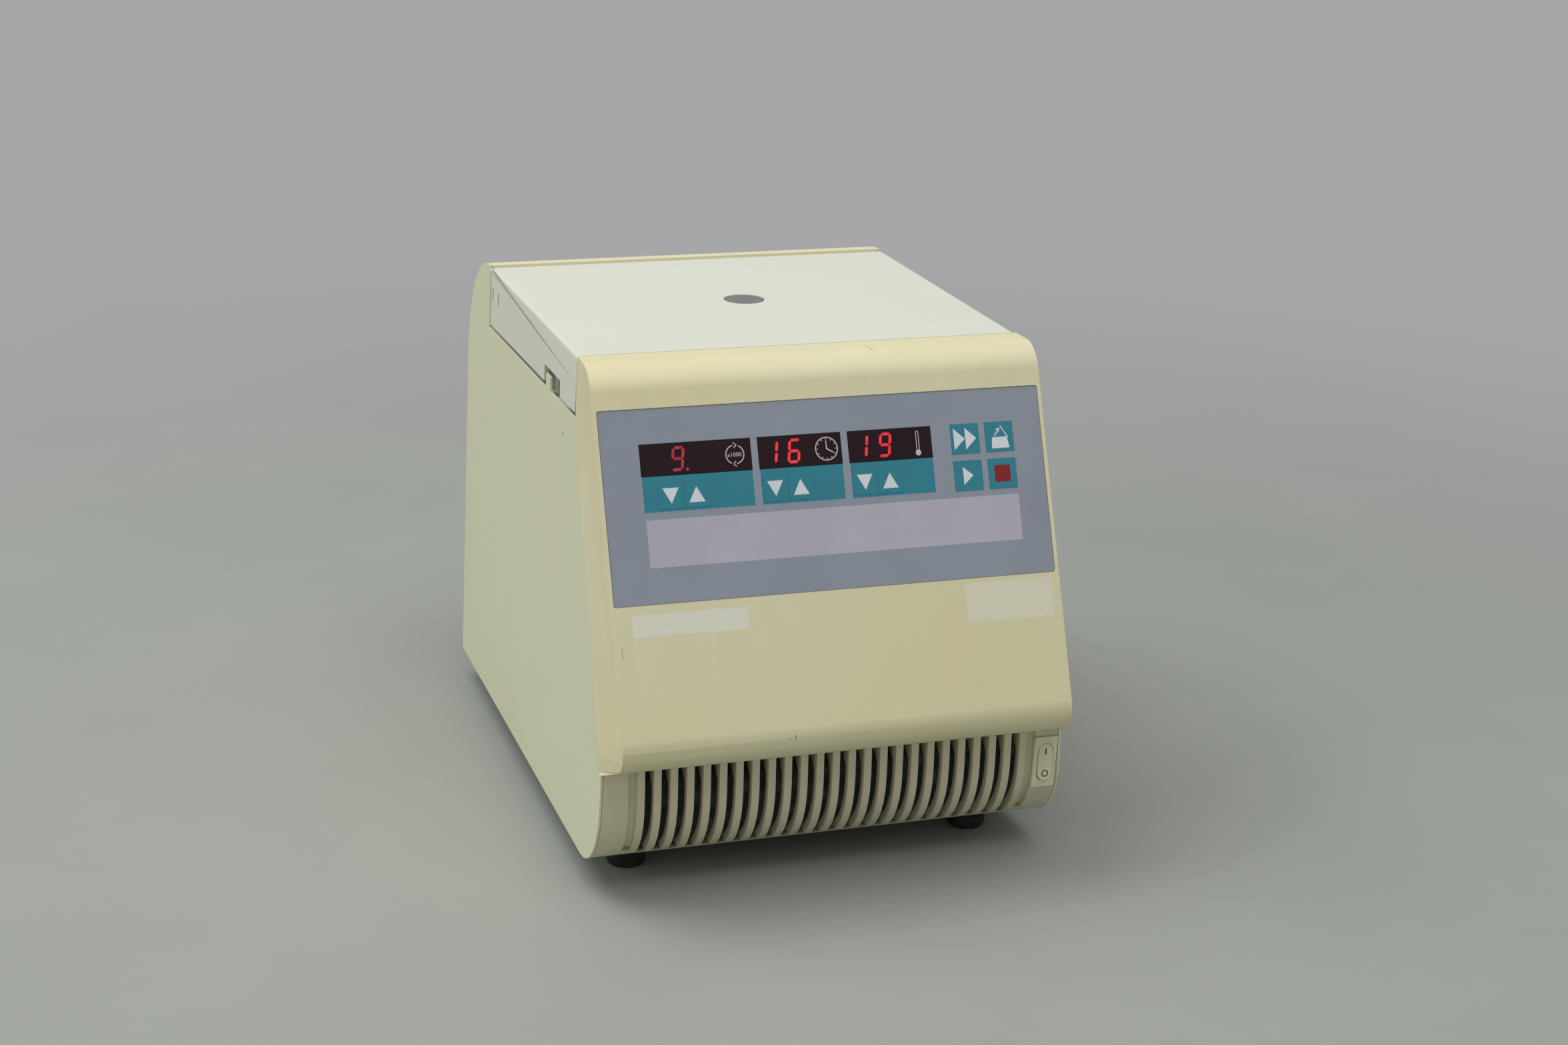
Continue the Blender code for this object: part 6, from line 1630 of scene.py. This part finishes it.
def camera_matrix(place: Vector, azimuth: float, elevation: float, roll: float) -> Matrix:
    """World matrix of a camera at a place, its angles in degrees.

    Args:
        place: where it stands.
        azimuth: how far it looks round from +Y towards +X.
        elevation: how far it looks down.
        roll: how far it is turned about its own axis.

    Returns:
        The camera's world matrix.
    """
    az, el, ro = (math.radians(value) for value in (azimuth, elevation, roll))
    ahead = Vector((math.cos(el) * math.sin(az), math.cos(el) * math.cos(az), -math.sin(el)))
    right = Vector((math.cos(az), -math.sin(az), 0.0))
    down = ahead.cross(right)
    rolled_right = right * math.cos(ro) - down * math.sin(ro)
    rolled_down = right * math.sin(ro) + down * math.cos(ro)
    turn = Matrix((rolled_right, -rolled_down, -ahead)).transposed().to_4x4()
    return Matrix.Translation(place) @ turn


@dataclass(frozen=True)
class SoftLamp:
    """A large square lamp that looks at the object."""

    name: str
    place: Colour
    size: float
    power: float

    def build(self, aim: Vector) -> None:
        """Hang the lamp.

        Args:
            aim: the point that it looks at.
        """
        data = bpy.data.lights.new(self.name, "AREA")
        data.shape = "SQUARE"
        data.size = self.size
        data.energy = self.power
        lamp = bpy.data.objects.new(self.name, data)
        bpy.context.scene.collection.objects.link(lamp)
        spot = Vector(self.place)
        turn = (aim - spot).to_track_quat("-Z", "Y").to_matrix().to_4x4()
        lamp.matrix_world = Matrix.Translation(spot) @ turn


@dataclass
class Studio:
    """Camera, floor, sky and lamps."""

    place: Vector = field(default_factory=lambda: Vector((-0.49130, -1.55937, 0.70612)))
    azimuth: float = 18.3156
    elevation: float = 18.0352
    roll: float = 1.5452
    lens: float = 60.304
    sensor: float = 36.0
    floor_half: float = 8.0
    near_floor: float = 0.55
    far_floor: float = 1.7
    floor_colour: Colour = (0.345, 0.365, 0.335)
    wall_colour: Colour = (0.386, 0.382, 0.392)
    sky_strength: float = 0.33
    view_depth: float = 50.0
    cloud: float = 0.25
    cloud_share: float = 0.93
    aim_height: float = 0.15
    lamps: tuple[SoftLamp, ...] = (
        SoftLamp("key", (-1.9, 0.7, 4.2), 3.0, 110.0),
        SoftLamp("front", (0.4, -1.95, 4.3), 2.6, 62.0),
        SoftLamp("side", (-3.6, -1.4, 1.9), 2.2, 26.0),
    )

    def build(self) -> None:
        """Set the camera, the floor, the sky and the lamps."""
        self.set_camera()
        self.set_floor()
        self.set_world()
        aim = Vector((0.0, 0.0, self.aim_height))
        for lamp in self.lamps:
            lamp.build(aim)
        bpy.context.scene.view_settings.view_transform = "Standard"

    def set_camera(self) -> None:
        """Place the camera as the photograph has it."""
        data = bpy.data.cameras.new("camera")
        data.lens = self.lens
        data.sensor_width = self.sensor
        data.sensor_fit = "HORIZONTAL"
        data.clip_end = self.view_depth
        camera = bpy.data.objects.new("camera", data)
        bpy.context.scene.collection.objects.link(camera)
        camera.matrix_world = camera_matrix(self.place, self.azimuth, self.elevation, self.roll)
        bpy.context.scene.camera = camera

    def set_floor(self) -> None:
        """Lay a pale floor that keeps shadows near the object and runs into the wall's tone far off."""
        mesh = bpy.data.meshes.new("floor")
        work = bmesh.new()
        bmesh.ops.create_grid(work, x_segments=1, y_segments=1, size=self.floor_half)
        work.to_mesh(mesh)
        work.free()
        floor = bpy.data.objects.new("floor", mesh)
        bpy.context.scene.collection.objects.link(floor)
        graph = Graph("floor_paint")
        clouds = graph.noise(self.cloud, 4.0, rough=0.6).above(0.5, 0.6)
        darker = tuple(value * self.cloud_share for value in self.floor_colour)
        graph.set(base_color=graph.mix(clouds, self.floor_colour, darker), roughness=0.75)
        across, away, _ = graph.axes()
        far = (across * across + away * away) ** 0.5
        seen = self.seen_ray(graph)
        fade = far.above((self.near_floor + self.far_floor) / 2, self.far_floor - self.near_floor) * seen
        glow = graph.node("ShaderNodeEmission", None, {"Color": self.wall_colour, "Strength": 1.0})
        body = Wire(graph, graph.shader.outputs[0])
        mixed = graph.node("ShaderNodeMixShader", None, {0: fade, 1: body, 2: glow})
        graph.tree.links.new(mixed.socket, graph.tree.nodes["Material Output"].inputs["Surface"])
        mesh.materials.append(graph.material)

    def seen_ray(self, graph: Graph) -> Wire:
        """Whether a ray is one that shows the background: the camera's, or one in metal or glass.

        Args:
            graph: the material's graph.

        Returns:
            A wire that is 1 for such a ray and 0 for the others.
        """
        kinds = [graph.node("ShaderNodeLightPath", output=kind)
                 for kind in ("Is Camera Ray", "Is Glossy Ray", "Is Transmission Ray")]
        return 1.0 - (1.0 - kinds[0]) * (1.0 - kinds[1]) * (1.0 - kinds[2])

    def set_world(self) -> None:
        """Light everything evenly, with a pale sky behind."""
        world = bpy.data.worlds.new("sky")
        bpy.context.scene.world = world
        world.use_nodes = True
        tree = world.node_tree
        light = tree.nodes["Background"]
        light.inputs["Color"].default_value = (1.0, 1.0, 1.0, 1.0)
        light.inputs["Strength"].default_value = self.sky_strength
        seen = tree.nodes.new("ShaderNodeBackground")
        seen.inputs["Color"].default_value = (*self.wall_colour, 1.0)
        seen.inputs["Strength"].default_value = 1.0
        path = tree.nodes.new("ShaderNodeLightPath")
        mixer = tree.nodes.new("ShaderNodeMixShader")
        tree.links.new(path.outputs["Is Camera Ray"], mixer.inputs[0])
        tree.links.new(light.outputs[0], mixer.inputs[1])
        tree.links.new(seen.outputs[0], mixer.inputs[2])
        tree.links.new(mixer.outputs[0], tree.nodes["World Output"].inputs[0])


def main() -> None:
    """Load the solids, dress them, and set the studio."""
    logging.basicConfig(level=logging.INFO)
    frame = Frame(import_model())
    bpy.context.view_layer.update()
    outside = [kind(frame) for kind in (Housing, FrontEnd, MainsSwitch, OperatingPanel, Lid, Deck)]
    for assembly in (*outside, *inner_works(frame)):
        assembly.build()
    Studio().build()


if __name__ == "__main__":
    main()
